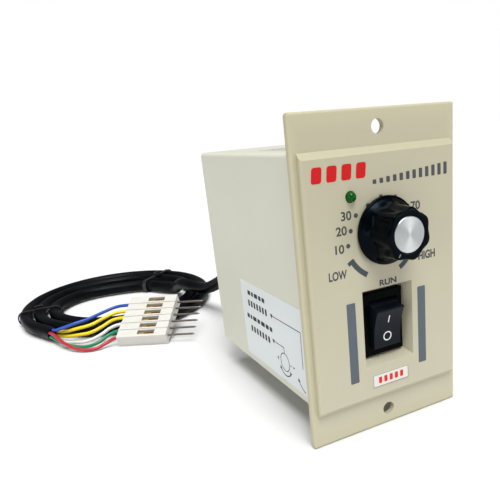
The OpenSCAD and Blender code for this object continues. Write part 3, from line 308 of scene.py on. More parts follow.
def panel_plastic():
    """The warm front panel: painted shade darkens it towards its top, and it turns yellower
    towards its thin edges.
    """
    look = grained("panel_plastic", 2400, 0.00004, 0.46)
    x, y, z = look.axes()
    half_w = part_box("front_panel")[1][0]
    half_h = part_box("front_panel")[1][2]
    edge = (x.math("ABSOLUTE") / half_w).math("MAXIMUM", z.math("ABSOLUTE") / half_h)
    rim = look.stops(edge, (0.88, 0), (1.0, 1))
    plain = look.mix(look.noise(30, 3), (0.465, 0.44, 0.325), (0.50, 0.475, 0.355))
    # Painted shade: the panel's colour darkens towards its top, where less light falls.
    painted_top_shade = look.stops(z / (2 * half_h) + 0.5, (0.1, 0), (0.95, 1))
    plain = look.mix(painted_top_shade * 0.8, plain, (0.40, 0.37, 0.255))
    look.set("Base Color", look.mix(rim * 0.7, plain, (0.48, 0.445, 0.29)))
    return look.material


def metal(name, colour, rough=0.3, streak=(1, 1, 60), scale=300, depth=0.00001):
    """Bare or plated metal with a grain along one way and cloudy patches."""
    look = Look(name, Metallic=1.0)
    lines = look.noise(scale, 3, 0.6, look.stretched(streak))
    cloud = look.noise(120, 3)
    dark = tuple(part * 0.8 for part in colour)
    look.set("Base Color", look.mix(cloud, dark, colour))
    look.set("Roughness", (rough + 0.16 * (lines - 0.5) + 0.1 * (cloud - 0.5)).clamp())
    look.bump(lines, 0.25, depth)
    return look.material


def gloss(name, colour, rough=0.22, coat=0.4, **constants):
    """A glossy skin with a soft coat, faint finger marks and orange peel."""
    look = Look(name, Coat_Roughness=0.15, **constants)
    marks = look.stops(look.noise(160, 4, 0.65), (0.45, 0), (0.7, 1))
    peel = look.noise(900, 2)
    light = tuple(min(1, part * 1.4 + 0.001) for part in colour)
    look.set("Base Color", look.mix(marks, colour, light))
    look.set("Roughness", (rough + 0.16 * marks).clamp())
    look.set("Coat Weight", coat - 0.6 * coat * marks)
    look.bump(peel, 0.12, 0.00003)
    return look.material


def knob_gloss():
    """The knob's deep black: tight highlights, broken by faint handling marks."""
    return gloss("knob_gloss", (0.0003, 0.0008, 0.0016), 0.14, 0.03, Specular_IOR_Level=0.045,
                 Specular_Tint=(0.4, 0.8, 1))


def ink(name, colour):
    """Screen-printed ink with a slightly uneven cover."""
    look = Look(name, Specular_IOR_Level=0.25)
    cover = look.noise(2200, 3)
    cloud = look.noise(300, 2)
    light = tuple(min(1, part * 1.25) for part in colour)
    look.set("Base Color", look.mix(cover * 0.5 + cloud * 0.5, colour, light))
    look.set("Roughness", (0.5 + 0.2 * cover).clamp())
    look.bump(cover, 0.2, 0.00001)
    return look.material


def cable_jacket():
    """Black PVC: a fine skin, dull patches where turns have rubbed, and dust."""
    look = Look("cable_jacket", Specular_IOR_Level=0.075)
    skin = look.noise(900, 3, 0.6)
    rubbed = look.stops(look.noise(55, 4, 0.6), (0.42, 0), (0.68, 1))
    dust = look.stops(look.cells(1400), (0.0, 1), (0.09, 0))
    base = look.mix(rubbed, (0.0008, 0.001, 0.0018), (0.003, 0.0036, 0.005))
    look.set("Base Color", look.mix(dust * 0.2, base, (0.08, 0.08, 0.08)))
    look.set("Roughness", (0.34 + 0.2 * rubbed + 0.1 * (skin - 0.5)).clamp())
    look.bump(skin, 0.2, 0.00005)
    return look.material


def core_plastic(name, colour):
    """Thin coloured insulation with a soft gloss and paler stretched places."""
    look = Look(name)
    pale = look.stops(look.noise(260, 3), (0.4, 0), (0.75, 1))
    fine = look.noise(3000, 2)
    light = tuple(part * 0.92 + 0.03 for part in colour)
    look.set("Base Color", look.mix(pale * 0.5, colour, light))
    look.set("Roughness", (0.3 + 0.12 * pale).clamp())
    look.bump(fine, 0.15, 0.00002)
    return look.material


def comb_nylon():
    """Milky nylon of the connector: cloudy depth and a waxy skin."""
    look = Look("comb_nylon", Subsurface_Weight=0.25, Subsurface_Radius=(0.004, 0.0035, 0.003),
                Subsurface_Scale=0.6)
    cloud = look.noise(220, 4)
    fine = look.noise(1800, 2)
    look.set("Base Color", look.mix(cloud, (0.55, 0.54, 0.495), (0.625, 0.615, 0.57)))
    look.set("Roughness", (0.36 + 0.12 * (cloud - 0.5)).clamp())
    look.bump(fine, 0.15, 0.00003)
    return look.material


def film_label(name, colour):
    """Printed film with a satin skin, a faint cloudiness and barely raised fibres."""
    look = Look(name, Specular_IOR_Level=0.3)
    fibre = look.noise(1500, 4, 0.6, look.stretched((1, 3, 1)))
    cloud = look.noise(60, 2)
    dark = tuple(part * 0.94 for part in colour)
    look.set("Base Color", look.mix(cloud, dark, colour))
    look.set("Roughness", (0.36 + 0.12 * fibre).clamp())
    look.bump(fibre, 0.1, 0.00002)
    return look.material


def spun_metal():
    """The cap's turned aluminium: some of its rings are brighter and duller than others."""
    look = Look("spun_metal", Metallic=1.0)
    x, y, z = look.axes()
    out = (x * x + (z - knob_z * MM) * (z - knob_z * MM)) ** 0.5
    ring = look.noise(1, 2, 0.5, look.node("ShaderNodeCombineXYZ", None, {0: out * 2600}))
    look.set("Base Color", look.mix(ring, (0.37, 0.39, 0.39), (0.48, 0.50, 0.50)))
    look.set("Roughness", (0.27 + 0.1 * ring).clamp())
    return look.material


def lamp_lens():
    """Green resin, a little cloudy, with a faint glow of its own."""
    look = Look("lamp_lens", Transmission_Weight=0.1, IOR=1.5, Coat_Weight=0.08,
                Specular_IOR_Level=0.25, Specular_Tint=(0.4, 1, 0.45))
    cloud = look.noise(900, 2)
    look.set("Base Color", look.mix(cloud, (0.0, 0.025, 0.002), (0.0, 0.085, 0.008)))
    look.set("Roughness", (0.06 + 0.08 * cloud).clamp())
    look.set("Emission Color", look.mix(cloud, (0.0, 0.05, 0.005), (0.0, 0.12, 0.01)))
    look.set("Emission Strength", 0.15)
    return look.material


def circuit_board():
    """Green solder mask over faint tracks, with pale specks of solder."""
    look = Look("circuit_board")
    x, y, z = look.axes()
    tracks = look.stops((z * (TURN / (5 * MM)) + 3 * look.noise(90, 1)).math("SINE"),
                        (0.55, 0), (0.62, 1))
    solder = look.stops(look.cells(260), (0.08, 1), (0.11, 0))
    mask = look.mix(tracks, (0.012, 0.11, 0.035), (0.025, 0.19, 0.06))
    look.set("Base Color", look.mix(solder, mask, (0.55, 0.56, 0.55)))
    look.set("Roughness", (0.32 + 0.1 * tracks).clamp())
    look.set("Metallic", solder)
    look.bump(tracks + solder, 0.3, 0.00004)
    return look.material


# Modelling by hand
def deselect():
    bpy.ops.object.select_all(action="DESELECT")


def select_only(piece):
    deselect()
    piece.select_set(True)
    bpy.context.view_layer.objects.active = piece


def settle(piece):
    """Puts a piece's place, turn and size into its mesh."""
    select_only(piece)
    bpy.ops.object.transform_apply(location=True, rotation=True, scale=True)


def add(kind, name, **how):
    """Adds a primitive with nothing else selected."""
    deselect()
    getattr(bpy.ops.mesh, f"primitive_{kind}_add")(**how)
    piece = bpy.context.object
    piece.name = name
    settle(piece)
    return piece


class Edit:
    """Edit mode on one piece with nothing selected, and a way to select by place."""

    def __init__(self, piece):
        self.piece = piece

    def __enter__(self):
        select_only(self.piece)
        bpy.ops.object.mode_set(mode="EDIT")
        bpy.ops.mesh.select_mode(type="VERT")
        bpy.ops.mesh.select_all(action="DESELECT")
        return self

    def __exit__(self, *problem):
        bpy.ops.object.mode_set(mode="OBJECT")

    def pick(self, what, test):
        """Selects only the faces, edges or vertices that pass the test."""
        bpy.ops.mesh.select_mode(type={"faces": "FACE", "edges": "EDGE", "verts": "VERT"}[what])
        bpy.ops.mesh.select_all(action="DESELECT")
        mesh = bmesh.from_edit_mesh(self.piece.data)
        for part in getattr(mesh, what):
            if test(part):
                part.select_set(True)
        mesh.select_flush_mode()
        bmesh.update_edit_mesh(self.piece.data)


def apply_modifier(piece, kind, **settings):
    select_only(piece)
    made = piece.modifiers.new(kind.lower(), kind)
    for key, value in settings.items():
        setattr(made, key, value)
    bpy.ops.object.modifier_apply(modifier=made.name)


def smooth(piece, angle=35):
    select_only(piece)
    bpy.ops.object.shade_smooth_by_angle(angle=math.radians(angle))


def dress(piece, body, material, stands_for=()):
    """Gives a finished piece its material and body, and hides the nodes it stands for."""
    piece.data.materials.clear()
    piece.data.materials.append(material)
    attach(piece, body)
    if stands_for:
        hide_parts(*stands_for)
    return piece


# The lead and its cores
def coil_point(angle):
    """A point of the coil, which winds outwards and fans inwards on its far side."""
    left = coil_turns - (angle - coil_start) / 360
    share = left / coil_turns
    rise = math.sin(math.radians(angle))
    draw = coil_fan * max(0, rise) ** 2 * share ** 2 + coil_entry * share ** 12
    reach = 1 - (turn_pitch * left + draw) / coil_rx
    return Vector((coil_centre[0] + coil_rx * reach * math.cos(math.radians(angle)),
                   coil_centre[1] + coil_ry * reach * rise, cord_rest))


def coil_path():
    """The coil's turns between its two straight ends."""
    steps = round(coil_turns * coil_rings)
    turned = [coil_point(coil_start + 360 * coil_turns * step / steps)
              for step in range(steps + 1)]
    way_in = (turned[1] - turned[0]).normalized()
    way_out = (turned[-1] - turned[-2]).normalized()
    return [turned[0] - cord_d * way_in, *turned, turned[-1] + cord_d * way_out]


def on_connector(x, y, z):
    """A point given along, across and above the connector."""
    turn = Matrix.Rotation(math.radians(connector_yaw), 3, "Z")
    lean = Matrix.Rotation(math.radians(connector_lean), 3, "X")
    return connector_at + turn @ lean @ Vector((x, y, z))


def pole_y(index):
    """How far across the connector one of its poles lies."""
    return connector_end + (poles - 1 - index) * pole_pitch


def core_path(index, coil):
    """One core from the jacket's end to its pole of the connector."""
    way = (coil[-1] - coil[-2]).normalized()
    side = -way.cross(Vector((0, 0, 1))).normalized()
    turn = math.radians(90 - 60 * index)
    start = coil[-1] + core_ring_r * (math.cos(turn) * side + math.sin(turn) * Vector((0, 0, 1)))
    seat = on_connector(0, pole_y(index), connector_t / 2)
    before = on_connector(-core_d, pole_y(index), connector_t / 2)
    return [start, start + core_d * way, *map(Vector, CORE_POINTS[index]), before, seat]


def lay_cord(name, points, diameter, material, body, stands_for):
    """A round cord along points given in millimetres."""
    line = bpy.data.curves.new(name, "CURVE")
    line.dimensions = "3D"
    line.bevel_depth = diameter / 2 * MM
    line.bevel_resolution = 5
    line.resolution_u = 6
    line.use_fill_caps = True
    spline = line.splines.new("BEZIER")
    spline.bezier_points.add(len(points) - 1)
    for knot, point in zip(spline.bezier_points, points):
        knot.co = Vector(point) * MM
        knot.handle_left_type = "AUTO"
        knot.handle_right_type = "AUTO"
    cord = bpy.data.objects.new(name, line)
    bpy.context.collection.objects.link(cord)
    return dress(cord, body, material, stands_for)


def path_length(points):
    return sum((b - a).length for a, b in zip(points, points[1:]))


def lay_lead():
    """The lead from the strain relief through its coil, and the six cores after it."""
    coil = coil_path()
    way_in = (coil[1] - coil[0]).normalized()
    route = [*map(Vector, LEAD_POINTS), coil[0] - cord_d * way_in, *coil]
    jacket = cable_jacket()
    lead = lay_cord("motor_lead", route, cord_d, jacket, "case",
                    ("cord_lead", "cord_coil"))
    ties = [make_tie("tie_left", 180, "coil_tie_left"),
            make_tie("tie_right", 400, "coil_tie_right")]
    mm(*LEAD_POINTS[0])
    path_length(route) * MM
    colours = {"blue": (0.012, 0.07, 0.42), "yellow": (0.80, 0.60, 0.0),
               "white": (0.70, 0.70, 0.68), "green": (0.0, 0.22, 0.09), "red": (0.42, 0.015, 0.03)}
    for index, name in enumerate(CORE_NAMES):
        tone = name.split("_")[1]
        points = core_path(index, coil)
        core = lay_cord("lead_" + name, points, core_d, core_plastic(name, colours[tone]),
                        "case", (name,))
        points[0] * MM
        path_length(points) * MM


# The ties' strap and lock
tie_w = 2.6
strap_t = tie_t * 0.9
tie_slack = 0.5
tie_corner = 0.45
tie_lock_l = 4.6
tie_lock_h = 2.2
tie_lock_up = 1
tie_slot = 0.5


def make_tie(name, angle, node):
    """A nylon strap round the three turns, with its lock on top."""
    base = angle - 360 * math.floor((angle - coil_start) / 360)
    inner = coil_point(base)
    outer = coil_point(base + 720)
    span = (outer - inner).length + cord_d + tie_slack
    across = math.atan2(outer.y - inner.y, outer.x - inner.x)
    height = cord_d + tie_gap
    strap = add("cube", name, size=1)
    with Edit(strap) as edit:
        bpy.ops.mesh.select_all(action="SELECT")
        bpy.ops.transform.resize(value=mm(span, tie_w, height))
        edit.pick("edges", lambda e: abs(e.verts[0].co.y - e.verts[1].co.y) > tie_w / 2 * MM)
        bpy.ops.mesh.bevel(offset=height * tie_corner * MM, segments=10)
        edit.pick("faces", lambda f: abs(f.normal.y) > 0.9)
        bpy.ops.mesh.delete(type="FACE")
    apply_modifier(strap, "SOLIDIFY", thickness=strap_t * MM, offset=1)
    lock = add("cube", name + "_lock", size=1)
    with Edit(lock) as edit:
        bpy.ops.mesh.select_all(action="SELECT")
        bpy.ops.transform.resize(value=mm(tie_lock_l, tie_w, tie_lock_h))
        bpy.ops.transform.translate(value=mm(0, 0, height / 2 + tie_t + tie_lock_up))
        edit.pick("faces", lambda f: abs(f.normal.y) > 0.9)
        bpy.ops.mesh.inset(thickness=tie_slot * MM)
        bpy.ops.mesh.extrude_region_shrink_fatten(
            TRANSFORM_OT_shrink_fatten={"value": -tie_slot * MM})
    apply_modifier(lock, "BEVEL", width=0.3 * MM, segments=2, limit_method="ANGLE")
    select_only(strap)
    lock.select_set(True)
    bpy.ops.object.join()
    strap.location = (inner + outer) / 2 * MM
    strap.rotation_euler = (0, 0, across)
    settle(strap)
    smooth(strap)
    nylon = moulded("tie_nylon", (0.004, 0.004, 0.005), 1500, 0.00003, 0.42, 0.3)
    return dress(strap, "case", nylon, (node,))


# The knob, its mark and its cap
knob_lobes = 7
knob_points = 196
knob_rim_r = 10.75
knob_foot = 0.25
pointer_turn = 236
pointer_r = 6.9
mark_l = 1.1
mark_t = 0.12
mark_w = 0.36
mark_sunk = 0.03
mark_edge = 0.05
cap_r = 5.45
# The knob's rings: distance from its back, radius over the lobes, and depth of the hollows
KNOB_RINGS = [(knob_foot, knob_rim_r, 0), (0.95, knob_rim_r, 0), (1.2, 10.5, 0), (1.25, 10.2, 0),
              (1.6, 9.9, 0.04), (2.0, 9.6, 0.14), (2.4, 9.3, 0.32), (2.8, 9.03, 0.58),
              (3.2, 8.8, 0.82), (3.7, 8.62, 0.98), (4.4, 8.5, 1.0), (5.6, 8.41, 0.97),
              (7.2, 8.33, 0.92), (8.8, 8.26, 0.86), (10.4, 8.19, 0.8), (11.05, 8.17, 0.78),
              (11.32, 8.07, 0.76), (11.5, 7.88, 0.75), (11.6, 7.55, 0.72)]
# Where the lobes begin and where they are full, and how near a point has to be to its ring
skirt_top = 2
lobe_full = 5
ring_near = 0.02
least_pull = 0.001
# The seat of the cap: each step's radius and how much further in it lies
CAP_SEAT = [(cap_r + 0.5, 0), (cap_r + 0.15, 0.1), (cap_r + 0.05, 0.8)]


def close_and_turn_out(piece):
    """Merges what meets and turns the faces outwards."""
    with Edit(piece):
        bpy.ops.mesh.select_all(action="SELECT")
        bpy.ops.mesh.remove_doubles(threshold=0.00001)
        bpy.ops.mesh.normals_make_consistent(inside=False)


def make_knob():
    """A grip drawn out ring by ring over its skirt, with a hollow between each two lobes."""
    knob = add("circle", "knob_grip", vertices=knob_points, radius=knob_rim_r * MM,
               location=mm(0, knob_back, knob_z), rotation=(math.pi / 2, 0, 0))
    with Edit(knob) as edit:
        bpy.ops.mesh.select_all(action="SELECT")
        reach, radius = 0, knob_rim_r - knob_foot
        bpy.ops.transform.resize(value=[radius / knob_rim_r] * 3,
                                 center_override=mm(0, knob_back, knob_z))
        for depth, wide, hollow in KNOB_RINGS:
            bpy.ops.mesh.extrude_edges_move(
                TRANSFORM_OT_translate={"value": mm(0, reach - depth, 0)})
            bpy.ops.transform.resize(value=[wide / radius, 1, wide / radius],
                                     center_override=mm(0, knob_back - depth, knob_z))
            reach, radius = depth, wide
        for wide, deeper in CAP_SEAT:
            bpy.ops.mesh.extrude_edges_move(TRANSFORM_OT_translate={"value": mm(0, deeper, 0)})
            bpy.ops.transform.resize(value=[wide / radius, 1, wide / radius],
                                     center_override=mm(0, knob_front, knob_z))
            radius = wide
        bpy.ops.mesh.edge_face_add()
        for depth, wide, hollow in KNOB_RINGS:
            if hollow:
                press_hollows(edit, depth, wide, hollow)
    close_and_turn_out(knob)
    smooth(knob, 60)
    return dress(knob, "knob", knob_gloss(), ("knob",))


def press_hollows(edit, depth, wide, hollow):
    """Draws one ring in between the lobes: to a ridge on the skirt, rounder on the grip."""
    per_lobe = knob_points // knob_lobes
    sharp = 0.7 + 0.3 * min(1, max(0, (depth - skirt_top) / (lobe_full - skirt_top)))
    groups = {}
    mesh = bmesh.from_edit_mesh(edit.piece.data)
    for point in mesh.verts:
        x, z = point.co.x / MM, point.co.z / MM - knob_z
        on_ring = abs(knob_back - point.co.y / MM - depth) <= ring_near
        if not on_ring or math.hypot(x, z) < cap_r + 1:
            continue
        phase = (math.degrees(math.atan2(z, x)) - pointer_turn) * knob_points / 360
        step = round(phase) % per_lobe
        groups.setdefault(min(step, per_lobe - step), set()).add(point.index)
    for step, chosen in groups.items():
        pull = hollow * ((1 - math.cos(TURN * step / per_lobe)) / 2) ** sharp
        if pull < least_pull:
            continue
        edit.pick("verts", lambda point: point.index in chosen)
        factor = 1 - pull / wide
        bpy.ops.transform.resize(value=(factor, 1, factor),
                                 center_override=mm(0, knob_back - depth, knob_z))


def turned_part(name, outline, middle_z, steps=96, middle_x=0):
    """Spins an outline of (radius, depth) points in millimetres round an axis along Y."""
    start = outline[0]
    part = add("plane", name, size=MM)
    with Edit(part):
        bpy.ops.mesh.select_all(action="SELECT")
        bpy.ops.mesh.merge(type="CENTER")
        bpy.ops.mesh.select_all(action="SELECT")
        bpy.ops.transform.translate(value=mm(middle_x + start[0], start[1], middle_z))
        for (r0, y0), (r1, y1) in zip(outline, outline[1:]):
            bpy.ops.mesh.extrude_vertices_move(
                TRANSFORM_OT_translate={"value": mm(r1 - r0, y1 - y0, 0)})
        bpy.ops.mesh.select_all(action="SELECT")
        bpy.ops.mesh.spin(steps=steps, angle=TURN, center=mm(middle_x, 0, middle_z),
                          axis=(0, 1, 0))
    close_and_turn_out(part)
    return part


def make_cap():
    """The knob's metal disc: a fine bevel, and ridges left by turning on a very slight crown."""
    crown = 0.0016
    ridge = 0.02
    pitch = 0.11
    ridges = 49
    bevel = 0.12
    face, back = knob_front - 0.14, knob_front + 0.7
    bevel_front, bevel_back = knob_front - 0.08, knob_front + 0.06
    outline = [(0, face)]
    outline += [(pitch * step, face + crown * (pitch * step) ** 2 + ridge * (step % 2))
                for step in range(2, ridges)]
    outline += [(cap_r - bevel, bevel_front), (cap_r, bevel_back), (cap_r, back), (0, back)]
    cap = turned_part("knob_disc", outline, knob_z)
    smooth(cap, 5)
    return dress(cap, "knob", spun_metal(), ("knob_cap",))


def make_pointer():
    """The white mark on the lobe that faces the start of the scale."""
    mark = add("cube", "knob_mark", size=1)
    angle = math.radians(pointer_turn)
    with Edit(mark) as edit:
        bpy.ops.mesh.select_all(action="SELECT")
        bpy.ops.transform.resize(value=mm(mark_l, mark_t, mark_w))
        edit.pick("faces", lambda f: f.normal.y < -0.9)
        bpy.ops.mesh.inset(thickness=mark_edge * MM)
    mark.location = mm(pointer_r * math.cos(angle), knob_front - mark_sunk,
                       knob_z + pointer_r * math.sin(angle))
    mark.rotation_euler = (0, -angle, 0)
    settle(mark)
    return dress(mark, "knob", ink("mark_white", (0.15, 0.16, 0.16)))


# The lamp's lens
lens_r = 1.6
lens_proud = 0.7
flange_t = 1


def make_lamp():
    """A round-nosed lens with its flange behind the panel."""
    low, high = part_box("status_lamp")
    middle_x, middle_z = (low[0] + high[0]) / 2 / MM, (low[2] + high[2]) / 2 / MM
    tip, back = low[1] / MM - lens_proud, high[1] / MM
    flange_r = (high[0] - low[0]) / 2 / MM
    outline = [(0, tip)]
    outline += [(lens_r * math.sin(a), tip + lens_r * (1 - math.cos(a)))
                for a in [math.radians(15 * step) for step in range(1, 7)]]
    outline += [(lens_r, back - flange_t), (flange_r, back - flange_t), (flange_r, back),
                (0, back)]
    lens = turned_part("lamp_dome", outline, middle_z, 48, middle_x)
    smooth(lens, 40)
    dress(lens, "case", lamp_lens(), ("status_lamp",))


# Printing
PRINT_FACES = {
    "panel": ((0, 0, 0), (0, face_y - print_lift, 0)),
    "sticker": ((0, 0, 0), (0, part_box("front_sticker")[0][1] / MM - print_lift, 0)),
    "side": ((0, 0, -math.pi / 2), (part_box("side_label")[0][0] / MM - print_lift, 0, 0)),
    "top": ((-math.pi / 2, 0, 0), (0, 0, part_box("top_label")[1][2] / MM + print_lift))}


def joined(pieces, name):
    """Makes one piece of several."""
    deselect()
    for piece in pieces:
        piece.select_set(True)
    bpy.context.view_layer.objects.active = pieces[0]
    if len(pieces) > 1:
        bpy.ops.object.join()
    pieces[0].name = name
    return pieces[0]


def print_on(face, name, pieces, ink_look):
    """Joins flat pieces drawn upright at the origin, gives them an ink's thickness and lays
    them on one face of the object."""
    printing = joined(pieces, name)
    apply_modifier(printing, "SOLIDIFY", thickness=print_thick * MM, offset=0)
    turn, at = PRINT_FACES[face]
    printing.rotation_euler = turn
    printing.location = mm(*at)
    settle(printing)
    return dress(printing, "case", ink_look)


def drawn_bar(x, z, width, height, corner=0.2, lean=0, turn=0):
    """An upright bar with softened corners; lean moves its top sideways."""
    bar = add("plane", "bar", size=MM, rotation=(math.pi / 2, 0, 0))
    with Edit(bar) as edit:
        bpy.ops.mesh.select_all(action="SELECT")
        bpy.ops.transform.resize(value=(width, 1, height), center_override=(0, 0, 0))
        if lean:
            edit.pick("verts", lambda point: point.co.z > 0)
            bpy.ops.transform.translate(value=mm(lean, 0, 0))
            bpy.ops.mesh.select_all(action="SELECT")
        bpy.ops.mesh.bevel(offset=corner * MM, segments=2, affect="VERTICES")
    bar.rotation_euler = (0, -turn, 0)
    bar.location = mm(x, 0, z)
    settle(bar)
    return bar


def drawn_line(start, end, width=0.3):
    """A thin line between two points, with softened ends."""
    (x0, z0), (x1, z1) = start, end
    return drawn_bar((x0 + x1) / 2, (z0 + z1) / 2, math.dist(start, end) + width, width,
                     width / 3, turn=math.atan2(z1 - z0, x1 - x0))


def drawn_band(middle, reach, width, first, last, steps=24):
    """A stroke along a circle, from one angle to another in degrees."""
    band = add("plane", "band", size=MM)
    angle = math.radians(first)
    way = (math.cos(angle), math.sin(angle))
    inner = reach - width / 2
    with Edit(band):
        bpy.ops.mesh.select_all(action="SELECT")
        bpy.ops.mesh.merge(type="CENTER")
        bpy.ops.mesh.select_all(action="SELECT")
        bpy.ops.transform.translate(value=mm(middle[0] + inner * way[0], 0,
                                             middle[1] + inner * way[1]))
        bpy.ops.mesh.extrude_vertices_move(
            TRANSFORM_OT_translate={"value": mm(width * way[0], 0, width * way[1])})
        bpy.ops.mesh.select_all(action="SELECT")
        bpy.ops.mesh.spin(steps=steps, angle=math.radians(last - first),
                          center=mm(middle[0], 0, middle[1]), axis=(0, 1, 0))
        bpy.ops.mesh.select_all(action="SELECT")
        bpy.ops.mesh.remove_doubles(threshold=0.000001)
    return band


def drawn_dot(x, z, radius, sides=24, turn=0):
    """A round dot, or with three sides the tip of an arrow."""
    dot = add("circle", "dot", vertices=sides, radius=radius * MM, fill_type="NGON",
              rotation=(math.pi / 2, 0, 0))
    dot.rotation_euler = (0, -turn, 0)
    dot.location = mm(x, 0, z)
    settle(dot)
    return dot


def lettering(words, x, z, height, stretch, heavy=0.08):
    """Plain words or numbers, drawn upright at the origin and made a mesh."""
    deselect()
    bpy.ops.object.text_add()
    text = bpy.context.object
    text.data.body = words
    text.data.align_x = "CENTER"
    text.data.align_y = "CENTER"
    text.data.size = height / 0.7 * MM
    text.data.offset = heavy * MM
    bpy.ops.object.convert(target="MESH")
    text = bpy.context.object
    text.rotation_euler = (math.pi / 2, 0, 0)
    text.scale = (stretch, 1, 1)
    text.location = mm(x, 0, z)
    settle(text)
    return text


# Dots, numbers and words as the panel shows them; the knob hides the rest. A word has its
# place, height, width and weight.
DIAL_DOTS = [(-13.9, 13.2), (-12.7, 17.6), (-10.6, 22), (-6.1, 24.4), (-1.2, 26.4), (4.2, 25.7),
             (9.0, 22.2), (9.9, 17.9), (11.1, 13.2)]
DIAL_NUMBERS = [("10", -17.3, 12.5), ("20", -16, 17.9), ("30", -14.1, 22.2), ("70", 12, 21.9),
                ("80", 13.4, 17.9), ("90", 14.6, 12.5)]
DIAL_WORDS = [("LOW", -18.3, 4.6, 2.6, 0.74, 0.1), ("HIGH", 16.3, 5.2, 2.6, 0.8, 0.13),
              ("RUN", 0.3, -0.8, 1.9, 1.22, 0.08)]
# The arcs: middle, first and last angle; their hooks: place and turn in degrees
ARCS = [((0, 16), 211, 240), ((-2.4, 16), 300, 329)]
HOOKS = [(-13.2, 7.95, 28), (10.8, 7.95, -28)]
dot_r = 0.72
number_h = 2.6
number_w = 1.04
arc_r = 15
arc_w = 1.7
hook_size = (2.5, 1.3)
hook_corner = 0.15
# The bars beside the switch
bar_places = (-14.25, 13.7)
bar_z = -18.8
bar_size = (3.25, 27.5)
bar_corner = 0.3


def print_dial():
    """The scale's dots, numbers and words, and the two hooked arcs at its ends."""
    grey = ink("dial_ink", (0.055, 0.057, 0.062))
    slate = ink("slate_ink", (0.044, 0.055, 0.065))
    print_on("panel", "dial_dots", [drawn_dot(x, z, dot_r) for x, z in DIAL_DOTS], grey)
    print_on("panel", "dial_numbers",
             [lettering(number, x, z, number_h, number_w) for number, x, z in DIAL_NUMBERS], grey)
    print_on("panel", "dial_words", [lettering(*word) for word in DIAL_WORDS], grey)
    arcs = [drawn_band(middle, arc_r, arc_w, first, last) for middle, first, last in ARCS]
    print_on("panel", "dial_arcs", arcs, slate)
    hooks = [drawn_bar(x, z, *hook_size, hook_corner, turn=math.radians(turn))
             for x, z, turn in HOOKS]
    for hook in hooks:
        hook.location.y = -print_thick / 2 * MM
        settle(hook)
    print_on("panel", "dial_hooks", hooks, slate)
    bars = [drawn_bar(x, bar_z, *bar_size, bar_corner) for x in bar_places]
    print_on("panel", "switch_bars", bars, ink("bar_ink", (0.082, 0.098, 0.118)))


def print_header():
    """Plain marks in the header's two places: red blocks and a row that rises to the right."""
    red = ink("red_ink", (0.46, 0.003, 0.004))
    grey = ink("header_ink", (0.055, 0.057, 0.062))
    first_x, pitch, middle_z = -23.4, 5.05, 35
    size, corner = (3.4, 4.6), 0.7
    blocks = [drawn_bar(first_x + pitch * step, middle_z, *size, corner, lean=0.5)
              for step in range(4)]
    print_on("panel", "header_blocks", blocks, red)
    first_x, pitch, foot_z = -3.3, 2.52, 30.5
    width, heights = 1.35, [1.3 + 0.23 * step for step in range(12)]
    rising = [drawn_bar(first_x + pitch * step, foot_z + height / 2, width, height)
              for step, height in enumerate(heights)]
    print_on("panel", "header_steps", rising, grey)


def print_sticker():
    """A thin frame round the sticker and five plain red bars on it."""
    low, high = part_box("front_sticker")
    x0, x1, z0, z1 = [value / MM for value in (low[0], high[0], low[2], high[2])]
    edge, line_w = 0.16, 0.17
    x0, x1, z0, z1 = x0 + edge, x1 - edge, z0 + edge, z1 - edge
    frame_lines = [drawn_line((x0, z), (x1, z), line_w) for z in (z0, z1)]
    frame_lines += [drawn_line((x, z0), (x, z1), line_w) for x in (x0, x1)]
    print_on("sticker", "sticker_frame", frame_lines, ink("frame_ink", (0.10, 0.09, 0.10)))
    middle, pitch, size = (z0 + z1) / 2, 2.2, (1.3, 2.3)
    bars = [drawn_bar(pitch * step, middle, *size, 0.3) for step in range(-2, 3)]
    print_on("sticker", "sticker_bars", bars, ink("sticker_red", (0.55, 0.02, 0.015)))


# Rows of the side label: where each starts, its height, and its blocks' lengths and gap
LABEL_ROWS = [(51.3, -11, 1.7, (2.6, 1.7, 3.1, 2.2, 2.4), 0.95),
              (51.8, -15.3, 2.5, (1.5, 1.5, 1.5, 1.5, 1.5, 1.5, 1.5), 1.15),
              (54.2, -21, 1.7, (2.3, 1.5, 3.2, 2.4, 3.4, 2.6, 2.1), 0.95),
              (51.4, -25.8, 2.5, (1.5, 1.5, 1.5, 1.5, 1.5, 1.5, 1.5), 1.15)]
# Its arrow tips: place, radius and turn in degrees
LABEL_TIPS = [(-30.4, -15.2, 1.15, 180), (-30.7, -25, 1.15, 180), (-26.3, -33.9, 0.95, 132),
              (-18.5, -33.9, 0.95, 48), (-12.3, -33.9, 0.95, 125)]


def print_side_label():
    """A plain wiring picture: rows of blocks, two arrows, a ring and its turning arrows."""
    black = ink("label_black", (0.02, 0.02, 0.022))
    blocks = []
    for y, z, height, lengths, gap in LABEL_ROWS:
        for length in lengths:
            blocks.append(drawn_bar(length / 2 - y, z, length, height, 0.25))
            y -= length + gap
    print_on("side", "label_rows", blocks, black)
    lines = [drawn_line((-29.5, -15.2), (-8.1, -15.2)), drawn_line((-8.1, -15.2), (-8.4, -28.2)),
             drawn_line((-29.8, -25), (-22.2, -25)), drawn_line((-22.2, -25), (-22.3, -27.2)),
             drawn_band((-22.4, -30.7), 3.4, 0.32, 0, 360, 48),
             drawn_band((-22.4, -30.7), 5.2, 0.4, 222, 318),
             drawn_band((-6.4, -30.2), 7.0, 0.4, 215, 258),
             drawn_line((-16.0, -30.5), (-15.0, -30.5), 0.4),
             drawn_line((-18, -30.5), (-17.2, -30.5)),
             drawn_line((-27.9, -29.9), (-27.9, -31.4)),
             drawn_line((-28.5, -30.6), (-27.3, -30.6))]
    print_on("side", "label_lines", lines, black)
    tips = [drawn_dot(x, z, radius, 3, math.radians(turn)) for x, z, radius, turn in LABEL_TIPS]
    print_on("side", "label_tips", tips, black)


